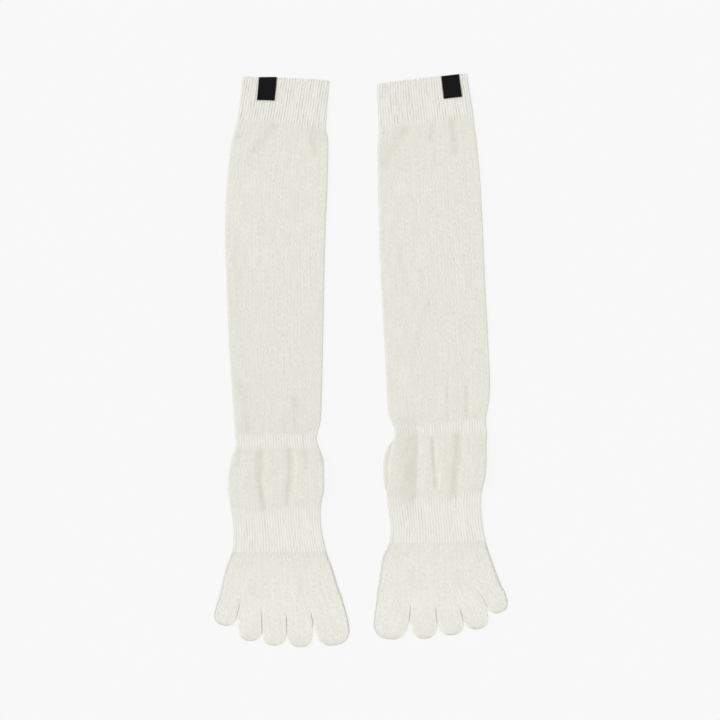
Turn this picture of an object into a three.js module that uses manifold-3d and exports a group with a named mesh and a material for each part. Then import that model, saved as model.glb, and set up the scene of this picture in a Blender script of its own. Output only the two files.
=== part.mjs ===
// Pair of knee socks with separate toes, laid flat side by side on their backs.
// Millimetres, +Z up. The cuffs point to +Y, the toes to -Y, and both socks rest on z = 0.
// Each sock is a row of knitted tubes: cuff, leg, ankle band, ankle, arch band and foot. The pouch of
// the heel is folded flat under the ankle, and a bare woven label lies on the cuff.

import * as THREE from 'three';
import { mergeVertices } from 'three/addons/utils/BufferGeometryUtils.js';
import Module from 'manifold-3d';

const wasm = await Module();
wasm.setup();

// Driving dimensions
const SEAM_GAP = 0.3; // between two knitted zones
const LEG_WALL = 1.2; // plain knit
const BAND_WALL = 1.35; // ribbed bands round the ankle and the arch
const CUFF_WALL = 1.6; // ribbed cuff
const RIB_PITCH = 2.2;
const RIB_CREST = 0.2; // above the plain surface
const RIB_VALLEY = 0.25; // below it
const LOWER_BEND = 0.45; // share of the height below the side fold
const CROWN = 0.35; // how much the top bulges in the middle
const ANKLE_CROWN = 0.7; // how much more it bulges over the heel pouch
const EDGE_CALM = 5; // folds fade out over this much beside the side folds
const LEAST_HOLLOW = 0.35; // between the two layers, where a fold presses them together
const POUCH_LIFT = 2.6; // how far the heel pouch lifts the ankle
const LIFT_RUN = 4.5; // length over which the lower layer rises
const SWELL_OUT = 9; // how far outside the ankle the upper layer starts to rise
const SWELL_IN = 5; // and how far inside it is up
const POUCH_CLEAR = 0.35; // between the pouch and the ankle above it
const UPPER_LIP_IN = 3.4; // how far the pouch's upper layer stays behind its lower one
const POUCH_END = 0.6; // share of its height at its upper and lower ends
const POUCH_ROUND = 5; // length over which the ends round up to the full height
const LIPS_APART = 4.5; // spacing of the sections along the pouch
const LIP_SPREAD = [0.25, 0.5, 0.75]; // where its top has more points, as shares of its width
const BEND_STEPS = 2; // on each bend of a plain outline
const UNDER_STEPS = 3; // across its underside
const INSIDE_BEND = 1; // the same inside a wall
const INSIDE_UNDER = 2;
const FORE = { across: 20, step: 7 }; // points across the foot and spacing along it
const FORE_INSIDE = { across: 10, step: 11 };
const SLIT = 0.6; // between two toes
const SLIT_REACH = 30; // how far a slit's cut runs on past the toes
const TOE_ROUND = 0.5; // length of a toe's round end, as a share of its width
const TOE_BURIED = 0.72; // height of a toe's root inside the foot, as a share
const TOE_RISEN = 0.84; // its height where it leaves the foot
const TOE_LEAVES = 0.3; // where along its length that is
const TOE_BLUNT = 0.72; // below 1, the round end is blunter than an ellipse
const TOE_FALL = 0.4; // share of the height by which the round end falls
const TOE_SLIM = 1.5; // least width of a toe's section, as a share of its height
const TOE_TURNS = [0, 26, 50, 72]; // sections round the end, in degrees
const TOE_TURNS_INSIDE = [0, 32, 66];
const TOE_ACROSS = 5; // points across a toe
const TOE_ACROSS_INSIDE = 3;
const LABEL_THICK = 0.6;
const LABEL_STEPS = { across: 4, along: 2 };
const LABEL_CLEAR = 0.3; // between the crests of the ribs and the label

// Rows of a table as objects, with the named columns
const table = (names, rows) => {
  const columns = names.split(' ');
  return rows.map((row) => Object.fromEntries(columns.map((name, i) => [name, row[i]])));
};

// The knitted zones from the top down, with the wall, the ribs, and the points across and spacing along
const ZONES = table('name wall ribbed across step innerAcross innerStep', [
  ['cuff', CUFF_WALL, true, 0, 13, 9, 20],
  ['leg', LEG_WALL, false, 20, 14, 20, 26],
  ['ankle_band', BAND_WALL, true, 0, 7, 9, 12],
  ['ankle', LEG_WALL, false, 30, 4.4, 30, 6.5],
  ['arch_band', BAND_WALL, true, 0, 13, 9, 20],
]);

// The edge of the folded heel pouch from the floor up: how far in, and the share of its height
const LIPS = table('inset share', [
  [1.2, 0],
  [0.2, 0.12],
  [0, 0.26],
  [0.4, 0.42],
  [UPPER_LIP_IN + 0.4, 0.5],
  [UPPER_LIP_IN, 0.62],
  [UPPER_LIP_IN, 0.76],
  [UPPER_LIP_IN + 0.3, 0.9],
  [UPPER_LIP_IN + 1.4, 1],
]);

// Each sock: its sections from the top down, where its zones meet, its folds, pouch, toes, slits and label.
// A section has the height of its middle, its left and right edges, how far its right end stands above
// its left one, how far its middle bows towards the toes, and the thickness of both layers together.
// A fold has its two ends, its rise, and its width to the left and to the right of its line.
// A toe has its root inside the foot, its tip, its width and height, and the share of its width at the root.
// A label has its edges as shares of the width, how far it stands above the cuff, its length and its slant.
const SECTION = 'y left right rise bow high';
const FOLD = 'x y toX toY rise wide other';
const POUCH = 'y left right';
const TOE = 'name x y tipX tipY wide high root';
const CUT = 'x y toX toY';

const LEFT = {
  name: 'left',
  sections: table(SECTION, [
    [234, -98.5, -26, -3, -0.8, 4.2],
    [215.5, -100.2, -27.8, -5, 0, 4.2],
    [195.7, -102.6, -29, -7.5, 0, 4.2],
    [189, -105, -27.5, -6.5, 0, 3.9],
    [179, -107.5, -27, -5, 0, 3.7],
    [144, -111.5, -27.8, -3, 0, 3.6],
    [103, -113, -29.5, -1.5, 0, 3.6],
    [58.5, -111.5, -30.5, 0, 0, 3.6],
    [9, -109.5, -31.5, 1, 0, 3.6],
    [-34, -106.5, -32.5, 1.5, 0, 3.7],
    [-52, -105.2, -33.6, 1.5, 0, 3.7],
    [-61, -104.5, -36, 1.5, 0, 3.7],
    [-67, -103.7, -36.5, 1, 0, 3.7],
    [-73, -104.7, -34.5, 1, 0, 3.8],
    [-82, -107.7, -31.2, 0.5, 0, 4.6],
    [-96.5, -110, -30.5, 0.5, 0, 4.6],
    [-108, -110, -30.5, 1, 0, 4.6],
    [-121, -108.3, -33, 2, 0, 3.8],
    [-133.5, -106.5, -33.3, 1, 0, 3.7],
    [-147, -106, -31.5, 1, 0, 3.7],
    [-158.5, -107, -28.7, 1, 0, 3.7],
    [-172, -112.2, -23.7, 0, 1, 3.8],
    [-189, -116.4, -18.4, 0, 3, 3.9],
    [-197, -118.3, -15.3, -3, 5, 3.9],
    [-202, -113, -20, -6, 6.5, 3.2],
  ]),
  seams: { cuff: 234, leg: 195.7, ankle_band: -61, ankle: -73, arch_band: -121, foot: -158.5, end: -202 },
  folds: table(FOLD, [
    [-71.5, 193, -86.5, 176, -1, 4, 4],
    [-39, 192, -38, 171, -0.9, 3, 4],
    [-99, 190, -106, 181, -0.4, 3.5, 3.5],
    [-103, 101, -101.5, 58, -0.4, 4, 4],
    [-101.5, 50, -100.5, 21, -0.4, 4, 4],
    [-98, -20, -93, -56, -0.6, 4, 4],
    [-65, -33, -65, -56, 0.4, 4, 4],
    [-53, -33, -53, -56, -0.5, 3.5, 3.5],
    [-96.5, -80, -93, -112, 0.4, 6, 5],
    [-82.2, -77, -83, -96.5, -1.6, 4.2, 3],
    [-82.2, -103.5, -79.5, -122.5, -1.8, 3.4, 2.2],
    [-72.5, -98, -70.5, -115, 0.6, 5, 5],
    [-67.5, -88, -74, -98, -0.7, 4, 3],
    [-59.3, -75, -59, -96, -1.3, 2.6, 2.6],
    [-59.2, -100.5, -60.8, -118, -1.2, 2.6, 2.2],
    [-51, -82, -48.5, -112, 0.4, 5, 6],
    [-45.8, -74, -45, -88, -0.7, 3, 3],
    [-99.6, -74, -101, -86, -0.7, 2.6, 2.6],
  ]),
  pouch: table(POUCH, [
    [-76, -96, -43],
    [-79, -103, -36],
    [-84, -107, -32],
    [-96, -109, -31],
    [-108, -108.5, -31],
    [-114, -104.5, -35],
    [-118, -96, -45],
  ]),
  toes: table(TOE, [
    ['fifth', -106.5, -186, -114.3, -220, 19.2, 4.2, 0.8],
    ['fourth', -91.8, -188, -92.2, -232.7, 20.2, 4.4, 0.8],
    ['third', -71.3, -190, -72.2, -236.7, 20.4, 4.4, 0.8],
    ['second', -50.7, -190, -50.4, -238, 20.8, 4.4, 0.8],
    ['big', -30.2, -186, -21.4, -236.3, 28.8, 4.8, 0.6],
  ]),
  slits: table(CUT, [
    [-100.1, -200, -103.2, -214],
    [-82.2, -208.5, -82, -226],
    [-61.8, -211, -61.3, -228],
    [-41.6, -208.5, -39.3, -220],
  ]),
  label: { from: 0.194, to: 0.397, above: -0.7, long: 19, turn: 0.04 },
};

const RIGHT = {
  name: 'right',
  sections: table(SECTION, [
    [234, 13.5, 88, 8.5, -0.5, 4.2],
    [214.8, 13.7, 91, 7.5, 0, 4.2],
    [196.5, 14.8, 93.8, 8, 0, 4.2],
    [189, 14, 94.6, 7.5, 0, 3.9],
    [178, 13.5, 96.2, 7, 0, 3.7],
    [144, 14, 99.3, 5, 0, 3.6],
    [106, 15, 101.3, 5, 0, 3.6],
    [60, 16.7, 103.3, 3.5, 0, 3.6],
    [12, 19.7, 105.9, 3.5, 0, 3.6],
    [-26, 21.3, 107.3, 5, 0, 3.7],
    [-42, 22.9, 105.5, 5.5, 0, 3.7],
    [-50.2, 26.2, 104, 5.5, 0, 3.7],
    [-56.3, 28, 104.2, 4.7, 0, 3.7],
    [-62.5, 27, 104.7, 4, 0, 3.8],
    [-72, 25, 104.3, 4.5, 0, 4.6],
    [-86, 23.5, 104.2, 4.5, 0, 4.6],
    [-99, 22, 103.2, 4.5, 0, 4.6],
    [-110.3, 21.3, 101, 6.5, 0, 3.8],
    [-124, 22.9, 100, 5, 0, 3.7],
    [-138, 24.4, 101.3, 3.5, 0, 3.7],
    [-150.8, 23.4, 103.9, 1.5, 0, 3.7],
    [-164, 17.7, 108.3, 2, 1, 3.8],
    [-180.5, 15.8, 114.1, 2.5, 3, 3.9],
    [-189, 14.8, 117.8, 4, 5, 3.9],
    [-194.5, 18, 113, 8, 6.5, 3.2],
  ]),
  seams: {
    cuff: 234, leg: 196.5, ankle_band: -50.2, ankle: -62.5, arch_band: -110.3, foot: -150.8, end: -194.5,
  },
  folds: table(FOLD, [
    [36.5, 191, 20, 163, -1, 4, 4],
    [60.5, 195, 59, 186, -0.9, 3, 3],
    [76.5, 198, 79, 174, -1.1, 3.5, 3.5],
    [33, 96, 36.5, 58, -0.4, 4, 4],
    [57.5, 50, 42.5, 0.5, -0.5, 4, 4],
    [98, 7, 75.5, -9.5, -0.3, 4, 4],
    [72.5, -13, 72.5, -50, -0.6, 2.5, 2],
    [78.5, -18, 78.5, -48, 0.4, 3.5, 3.5],
    [88.7, -22, 88.5, -44, -0.9, 2.4, 2.4],
    [45.5, -63, 44.5, -112, -1.6, 12.5, 3],
    [53.5, -68, 52.5, -104, 0.4, 4.5, 4.5],
    [59.3, -66, 62.3, -105, -1.3, 1.8, 2],
    [69, -70, 68, -104, 0.3, 5, 5],
    [81.2, -62, 80.8, -83, -1.5, 4, 3.2],
    [79, -89.5, 77.2, -112, -1.5, 4.2, 3.2],
    [92, -68, 89.5, -104, 0.4, 6, 6],
    [102.5, -58, 101.5, -78, -0.8, 2.5, 2.5],
  ]),
  pouch: table(POUCH, [
    [-65, 26, 92],
    [-68, 23, 96],
    [-72, 21.3, 98.5],
    [-77, 19.6, 100],
    [-84, 18.5, 100.5],
    [-94, 18.7, 100],
    [-101, 19.5, 99],
    [-105, 21, 96],
    [-107.5, 24.5, 92],
  ]),
  toes: table(TOE, [
    ['big', 29, -178, 23.4, -231.4, 29.2, 4.8, 0.75],
    ['second', 50.9, -184, 53, -231, 21.2, 4.4, 0.8],
    ['third', 71.6, -184, 75.6, -228, 21.2, 4.4, 0.8],
    ['fourth', 89.8, -180, 97.4, -223, 20.2, 4.4, 0.8],
    ['fifth', 104.8, -174, 115.2, -209.4, 18.4, 4.2, 0.65],
  ]),
  slits: table(CUT, [
    [41.3, -202, 40.6, -216],
    [61.8, -204.5, 63.4, -219],
    [81.9, -202.5, 85.3, -217],
    [99.3, -194, 104.3, -207],
  ]),
  label: { from: 0.712, to: 0.907, above: -0.6, long: 18.2, turn: 0.02 },
};

// A smooth curve through one column of a table whose first column falls from row to row
function curve(rows, column) {
  const slopes = rows.map((row, i) => {
    const before = rows[Math.max(i - 1, 0)];
    const after = rows[Math.min(i + 1, rows.length - 1)];
    return (after[column] - before[column]) / (after.y - before.y);
  });
  return (y) => {
    const found = rows.findIndex((row) => row.y <= y);
    const next = found < 0 ? rows.length - 1 : Math.max(found, 1);
    const above = rows[next - 1];
    const below = rows[next];
    const run = below.y - above.y;
    const t = (y - above.y) / run;
    const bend = t * t * (3 - 2 * t);
    return above[column] * (1 - bend) + below[column] * bend
      + run * (slopes[next - 1] * t * (1 - t) * (1 - t) - slopes[next] * t * t * (1 - t));
  };
}

const smooth = (t) => {
  const s = Math.min(Math.max(t, 0), 1);
  return s * s * (3 - 2 * s);
};

// The section of a sock at one height, as numbers
function sectionAt(sock, y) {
  if (!sock.curves) {
    sock.curves = Object.fromEntries(['left', 'right', 'rise', 'bow', 'high']
      .map((column) => [column, curve(sock.sections, column)]));
  }
  const section = Object.fromEntries(Object.entries(sock.curves).map(([name, at]) => [name, at(y)]));
  return { ...section, y, width: section.right - section.left, ...liftAt(sock, y) };
}

// How far the heel pouch lifts the lower and the upper layer there
function liftAt(sock, y) {
  const inside = Math.min(sock.seams.ankle - y, y - sock.seams.arch_band);
  return {
    lift: POUCH_LIFT * smooth(inside / LIFT_RUN),
    swell: POUCH_LIFT * smooth((inside + SWELL_OUT) / (SWELL_OUT + SWELL_IN)),
  };
}

// A point of a section: x from its left edge, z from the floor
function place(section, x, z) {
  const u = x / section.width;
  const bow = section.bow * (1 - (2 * u - 1) ** 2);
  return [section.left + x, section.y + section.rise * (u - 0.5) - bow, z];
}

// Sum of the folds at a point seen from above, each fading with distance from its line
function foldRise(folds, x, y) {
  let rise = 0;
  for (const fold of folds) {
    const runX = fold.toX - fold.x;
    const runY = fold.toY - fold.y;
    const t = ((x - fold.x) * runX + (y - fold.y) * runY) / (runX * runX + runY * runY);
    const near = Math.min(Math.max(t, 0), 1);
    const offX = x - fold.x - near * runX;
    const away = Math.hypot(offX, y - fold.y - near * runY);
    rise += fold.rise * Math.exp(-((away / (offX < 0 ? fold.wide : fold.other)) ** 2));
  }
  return rise;
}

// A flattened tube's outline. q runs from 0 to 6: lower left bend, upper left bend, top, upper right
// bend, lower right bend, underside. The result has the point and the direction that faces out.
function outline(width, high, q) {
  const low = LOWER_BEND * high;
  const up = high - low;
  const part = Math.min(Math.floor(q), 5);
  const t = q - part;
  const turn = t * Math.PI / 2;
  const sine = Math.sin(turn);
  const cosine = Math.cos(turn);
  if (part === 0) {
    return { x: low * (1 - sine), z: low * (1 - cosine), out: [-sine, -cosine] };
  }
  if (part === 1) {
    return { x: up * (1 - cosine), z: low + up * sine, out: [-cosine, sine] };
  }
  if (part === 2) {
    return { x: up + (width - 2 * up) * t, z: high, out: [0, 1] };
  }
  if (part === 5) {
    return { x: width - low - (width - 2 * low) * t, z: 0, out: [0, -1] };
  }
  const mirrored = outline(width, high, 5 - q);
  return { x: width - mirrored.x, z: mirrored.z, out: [-mirrored.out[0], mirrored.out[1]] };
}

// The places round a plain outline, with so many steps over the top
function plainSpots(across, bendSteps = BEND_STEPS, underSteps = UNDER_STEPS) {
  const spots = [];
  for (const [part, steps] of [bendSteps, bendSteps, across, bendSteps, bendSteps, underSteps].entries()) {
    for (let i = 0; i < steps; i += 1) {
      spots.push({ q: part + i / steps, raise: 0 });
    }
  }
  return spots;
}

// The places round a ribbed outline: a crest and a valley for each rib over the sides and the top
function ribbedSpots(width, high) {
  const low = LOWER_BEND * high * Math.PI / 2;
  const up = (1 - LOWER_BEND) * high * Math.PI / 2;
  const top = width - 2 * (1 - LOWER_BEND) * high;
  const parts = [low, up, top, up, low];
  const round = parts.reduce((sum, part) => sum + part, 0);
  const ribs = Math.round(round / RIB_PITCH);
  const spots = [];
  for (let i = 0; i <= 2 * ribs; i += 1) {
    let left = round * i / (2 * ribs);
    let part = 0;
    while (part < 4 && left > parts[part]) {
      left -= parts[part];
      part += 1;
    }
    const end = i === 0 || i === 2 * ribs;
    const raise = i % 2 === 1 ? RIB_CREST : -RIB_VALLEY;
    spots.push({ q: Math.min(part + left / parts[part], 5), raise: end ? 0 : raise });
  }
  for (let i = 1; i < UNDER_STEPS; i += 1) {
    spots.push({ q: 5 + i / UNDER_STEPS, raise: 0 });
  }
  return spots;
}

// One ring of a zone's wall, moved in by inset
function ring(sock, wall, y, spots, inset) {
  const section = sectionAt(sock, y);
  const { width, high, lift, swell } = section;
  return spots.map(({ q, raise }) => {
    const point = outline(width - 2 * inset, high - 2 * inset, q);
    const x = point.x + inset + point.out[0] * raise;
    const z = point.z + inset + point.out[1] * raise;
    const share = point.z / (high - 2 * inset);
    const bulge = CROWN + ANKLE_CROWN * swell / POUCH_LIFT;
    const crown = bulge * share * (1 - (2 * x / width - 1) ** 2);
    const [planX, planY] = place(section, x, z);
    const calm = smooth(Math.min(x, width - x) / EDGE_CALM) * share;
    const deepest = LEAST_HOLLOW - (high - 2 * wall) - crown;
    const fold = Math.max(foldRise(sock.folds, planX, planY) * calm, deepest);
    return [planX, planY, z + lift + (swell - lift) * share + crown + fold];
  });
}

// Points and triangles of one closed surface
class Net {
  constructor() {
    this.points = [];
    this.faces = [];
  }

  // Adds a ring and returns the index of its first point
  ring(points) {
    const start = this.points.length;
    this.points.push(...points);
    return start;
  }

  // Joins two rings of the same count
  band(a, b, count, inward = false) {
    for (let i = 0; i < count; i += 1) {
      const j = (i + 1) % count;
      this.face([a + i, b + i, a + j], inward);
      this.face([a + j, b + i, b + j], inward);
    }
  }

  // Closes the end between an outer and an inner ring of any two counts, matched by their places
  rim(outer, outerSpots, inner, innerSpots, flip) {
    const at = (spots, i) => (i < spots.length ? spots[i].q : 6);
    let i = 0;
    let j = 0;
    while (i < outerSpots.length || j < innerSpots.length) {
      const a = outer + i % outerSpots.length;
      const b = inner + j % innerSpots.length;
      const nextOuter = i < outerSpots.length ? at(outerSpots, i + 1) : Infinity;
      const nextInner = j < innerSpots.length ? at(innerSpots, j + 1) : Infinity;
      if (nextOuter <= nextInner) {
        i += 1;
        this.face([a, outer + i % outerSpots.length, b], flip);
      } else {
        j += 1;
        this.face([a, inner + j % innerSpots.length, b], flip);
      }
    }
  }

  // Closes the end of a ring with a fan round its middle
  lid(start, count, flip) {
    const middle = new THREE.Vector3();
    for (let i = 0; i < count; i += 1) {
      middle.add(new THREE.Vector3(...this.points[start + i]));
    }
    middle.divideScalar(count);
    const centre = this.ring([middle.toArray()]);
    for (let i = 0; i < count; i += 1) {
      this.face([start + i, start + (i + 1) % count, centre], flip);
    }
  }

  face(corners, flip = false) {
    this.faces.push(flip ? [corners[0], corners[2], corners[1]] : corners);
  }

  // The faces, turned outwards
  facesOut() {
    let volume = 0;
    for (const [a, b, c] of this.faces) {
      const [p, q, r] = [a, b, c].map((i) => new THREE.Vector3(...this.points[i]));
      volume += p.dot(q.cross(r));
    }
    return volume < 0 ? this.faces.map(([a, b, c]) => [a, c, b]) : this.faces;
  }

  geometry() {
    const geometry = new THREE.BufferGeometry();
    geometry.setAttribute('position', new THREE.Float32BufferAttribute(this.points.flat(), 3));
    geometry.setIndex(this.facesOut().flat());
    return geometry;
  }

  solid() {
    return solidOf(this.geometry());
  }
}

// A solid for joining and cutting from a closed geometry
function solidOf(geometry) {
  const bare = geometry.clone();
  bare.deleteAttribute('normal');
  bare.deleteAttribute('uv');
  const merged = mergeVertices(bare);
  return new wasm.Manifold(new wasm.Mesh({
    numProp: 3,
    vertProperties: new Float32Array(merged.attributes.position.array),
    triVerts: new Uint32Array(merged.index.array),
  }));
}

function geometryOf(solid) {
  const mesh = solid.getMesh();
  const geometry = new THREE.BufferGeometry();
  geometry.setAttribute('position', new THREE.BufferAttribute(new Float32Array(mesh.vertProperties), 3));
  geometry.setIndex(new THREE.BufferAttribute(new Uint32Array(mesh.triVerts), 1));
  return geometry;
}

// Heights from one end to the other, spaced as evenly as the step allows
function levels(from, to, step) {
  const count = Math.max(Math.round(Math.abs(to - from) / step), 1);
  return Array.from({ length: count + 1 }, (_, i) => from + (to - from) * i / count);
}

// A knitted tube, open at both ends
function tube(sock, zone, from, to) {
  const middle = sectionAt(sock, (from + to) / 2);
  const outerSpots = zone.ribbed ? ribbedSpots(middle.width, middle.high) : plainSpots(zone.across);
  const innerSpots = plainSpots(zone.innerAcross, INSIDE_BEND, INSIDE_UNDER);
  const net = new Net();
  const lay = (spots, step, inset, inward) => {
    const starts = levels(from, to, step).map((y) => net.ring(ring(sock, zone.wall, y, spots, inset)));
    for (let i = 1; i < starts.length; i += 1) {
      net.band(starts[i - 1], starts[i], spots.length, inward);
    }
    return starts;
  };
  const outer = lay(outerSpots, zone.step, 0, false);
  const inner = lay(innerSpots, zone.innerStep, zone.wall, true);
  net.rim(outer[0], outerSpots, inner[0], innerSpots, false);
  net.rim(outer.at(-1), outerSpots, inner.at(-1), innerSpots, true);
  return net.geometry();
}

// The folded layers of the heel as one rounded pad with two lips round its edge
function pouch(sock) {
  const left = curve(sock.pouch, 'left');
  const right = curve(sock.pouch, 'right');
  const net = new Net();
  const first = sock.pouch[0].y;
  const last = sock.pouch.at(-1).y;
  const starts = levels(first, last, LIPS_APART).map((y) => {
    const section = sectionAt(sock, y);
    const round = POUCH_END + (1 - POUCH_END) * smooth(Math.min(first - y, y - last) / POUCH_ROUND);
    const high = (section.lift - POUCH_CLEAR) * round;
    const a = left(y) - section.left;
    const b = right(y) - section.left;
    const side = (x, sign) => LIPS.map((lip) => place(section, x + sign * lip.inset, lip.share * high));
    const top = LIP_SPREAD.map((u) => place(section, a + (b - a) * u, high));
    return net.ring([...side(a, 1), ...top, ...side(b, -1).reverse()]);
  });
  const count = 2 * LIPS.length + LIP_SPREAD.length;
  for (let i = 1; i < starts.length; i += 1) {
    net.band(starts[i - 1], starts[i], count);
  }
  net.lid(starts[0], count, false);
  net.lid(starts.at(-1), count, true);
  return net.geometry();
}

// The closed form of the foot up to the toes, moved in by inset
function forefoot(sock, inset) {
  const { across, step } = inset ? FORE_INSIDE : FORE;
  const spots = plainSpots(across, inset ? INSIDE_BEND : BEND_STEPS, INSIDE_UNDER);
  const from = sock.seams.foot - SEAM_GAP / 2 + inset;
  const to = sock.seams.end + inset;
  const net = new Net();
  const starts = levels(from, to, step).map((y) => net.ring(ring(sock, LEG_WALL, y, spots, inset)));
  for (let i = 1; i < starts.length; i += 1) {
    net.band(starts[i - 1], starts[i], spots.length);
  }
  net.lid(starts[0], spots.length, false);
  net.lid(starts.at(-1), spots.length, true);
  return net.solid();
}

// The closed form of one toe, from inside the foot to its round tip, moved in by inset
function toeForm(toe, inset) {
  const root = new THREE.Vector2(toe.x, toe.y);
  const tip = new THREE.Vector2(toe.tipX, toe.tipY);
  const along = tip.clone().sub(root);
  const length = along.length() - inset;
  along.normalize();
  const across = new THREE.Vector2(-along.y, along.x);
  const roundEnd = TOE_ROUND * toe.wide - inset;
  const spots = inset ? plainSpots(TOE_ACROSS_INSIDE, INSIDE_BEND, 1) : plainSpots(TOE_ACROSS, BEND_STEPS, 1);
  const stations = [
    { run: 0, wide: toe.root, high: TOE_BURIED },
    { run: TOE_LEAVES * length, wide: 1 - TOE_LEAVES * (1 - toe.root), high: TOE_RISEN },
    { run: (1 - TOE_LEAVES / 2) * (length - roundEnd), wide: 1, high: 1 },
  ];
  for (const degrees of inset ? TOE_TURNS_INSIDE : TOE_TURNS) {
    const angle = THREE.MathUtils.degToRad(degrees);
    stations.push({
      run: length - roundEnd * (1 - Math.sin(angle)),
      wide: Math.cos(angle) ** TOE_BLUNT,
      high: 1 - TOE_FALL * (1 - Math.cos(angle)),
    });
  }
  const net = new Net();
  const starts = stations.map((station) => {
    const high = Math.max(toe.high * station.high - 2 * inset, LEAST_HOLLOW);
    const wide = Math.max(toe.wide * station.wide - 2 * inset, TOE_SLIM * high);
    return net.ring(spots.map(({ q }) => {
      const point = outline(wide, high, q);
      const side = point.x - wide / 2;
      const at = root.clone().addScaledVector(along, station.run).addScaledVector(across, side);
      return [at.x, at.y, point.z + inset];
    }));
  });
  for (let i = 1; i < starts.length; i += 1) {
    net.band(starts[i - 1], starts[i], spots.length);
  }
  net.lid(starts[0], spots.length, false);
  net.lid(starts.at(-1), spots.length, true);
  return net.solid();
}

// The room between two toes, widened by margin on each side
function slitForm(slit, margin) {
  const run = new THREE.Vector2(slit.toX - slit.x, slit.toY - slit.y);
  const length = run.length() + SLIT_REACH;
  const box = new THREE.BoxGeometry(length + margin, SLIT + 2 * margin, SLIT_REACH);
  box.translate((length - margin) / 2, 0, 0);
  box.rotateZ(run.angle());
  box.translate(slit.x, slit.y, 0);
  return solidOf(box);
}

// The foot with its toes: the joined outer forms less the joined hollow
function foot(sock) {
  const joined = (inset) => {
    const forms = [forefoot(sock, inset), ...sock.toes.map((toe) => toeForm(toe, inset))];
    const whole = forms.reduce((sum, form) => sum.add(form));
    return sock.slits.reduce((rest, slit) => rest.subtract(slitForm(slit, inset)), whole);
  };
  return geometryOf(joined(0).subtract(joined(LEG_WALL)));
}

// A woven label over the crests of the cuff's ribs
function label(sock) {
  const { from, to, above, long, turn } = sock.label;
  const top = sock.seams.cuff + above;
  const net = new Net();
  const across = levels(from, to, (to - from) / LABEL_STEPS.across);
  const starts = levels(top, top - long, long / LABEL_STEPS.along).map((y) => {
    const section = sectionAt(sock, Math.min(y, sock.seams.cuff));
    section.y = y;
    const low = section.high + RIB_CREST + LABEL_CLEAR;
    const crowned = (u, z) => {
      const [x, planY, high] = place(section, u * section.width, z + CROWN * (1 - (2 * u - 1) ** 2));
      return [x, planY + turn * (u - from) * section.width, high];
    };
    return net.ring([
      ...across.map((u) => crowned(u, low + LABEL_THICK)),
      ...across.toReversed().map((u) => crowned(u, low)),
    ]);
  });
  const count = 2 * across.length;
  for (let i = 1; i < starts.length; i += 1) {
    net.band(starts[i - 1], starts[i], count);
  }
  net.lid(starts[0], count, false);
  net.lid(starts.at(-1), count, true);
  return net.geometry();
}

// Materials: one kind of knit for every zone, and a black woven label
const knit = () => new THREE.MeshStandardMaterial({ color: 0xe8e8de, roughness: 0.92, metalness: 0 });
const woven = () => new THREE.MeshStandardMaterial({ color: 0x17171a, roughness: 0.75, metalness: 0 });

function named(name, geometry, material) {
  const mesh = new THREE.Mesh(geometry, material);
  mesh.name = name;
  return mesh;
}

function sockGroup(sock) {
  const group = new THREE.Group();
  const ends = Object.values(sock.seams);
  for (const [i, zone] of ZONES.entries()) {
    const from = ends[i] - (i === 0 ? 0 : SEAM_GAP / 2);
    const to = ends[i + 1] + SEAM_GAP / 2;
    group.add(named(`${sock.name}_${zone.name}`, tube(sock, zone, from, to), knit()));
  }
  group.add(named(`${sock.name}_heel_pouch`, pouch(sock), knit()));
  group.add(named(`${sock.name}_foot`, foot(sock), knit()));
  group.add(named(`${sock.name}_label`, label(sock), woven()));
  return group;
}

// Both socks, moved so that the middle of their box stands over the origin
const pair = new THREE.Group();
pair.add(sockGroup(LEFT), sockGroup(RIGHT));
const box = new THREE.Box3().setFromObject(pair);
pair.position.set(-(box.min.x + box.max.x) / 2, -(box.min.y + box.max.y) / 2, -box.min.z);

export default pair;
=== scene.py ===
"""The looks of a pair of knee socks with separate toes, laid flat side by side on their backs.

Metres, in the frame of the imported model: the cuffs point to +Y, the toes to -Y, and the floor is z = 0.
Each sock is a row of knitted tubes with real walls: cuff, leg, ankle band, ankle, arch band and foot.
The pouch of the heel is folded flat under the ankle, and a bare woven label lies on the cuff.
"""

import math

import bpy
import numpy as np
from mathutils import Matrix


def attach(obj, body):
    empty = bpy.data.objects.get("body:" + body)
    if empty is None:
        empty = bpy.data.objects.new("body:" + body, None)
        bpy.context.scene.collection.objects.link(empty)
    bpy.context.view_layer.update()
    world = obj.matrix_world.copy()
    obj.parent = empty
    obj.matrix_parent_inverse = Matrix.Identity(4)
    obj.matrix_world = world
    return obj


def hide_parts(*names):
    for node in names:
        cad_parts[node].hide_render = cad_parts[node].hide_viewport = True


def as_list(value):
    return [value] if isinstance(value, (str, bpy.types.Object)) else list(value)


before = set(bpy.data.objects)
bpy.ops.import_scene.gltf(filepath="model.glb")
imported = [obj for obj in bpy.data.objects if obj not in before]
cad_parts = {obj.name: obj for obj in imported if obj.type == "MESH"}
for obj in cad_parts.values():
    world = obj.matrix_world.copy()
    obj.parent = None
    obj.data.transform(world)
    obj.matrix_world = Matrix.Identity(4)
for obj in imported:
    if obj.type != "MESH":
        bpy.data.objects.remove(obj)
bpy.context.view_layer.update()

# Where the tables' own origin lies in the frame of the part
PAIR_X = -0.0000792
PAIR_Y = -0.0005046

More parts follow.
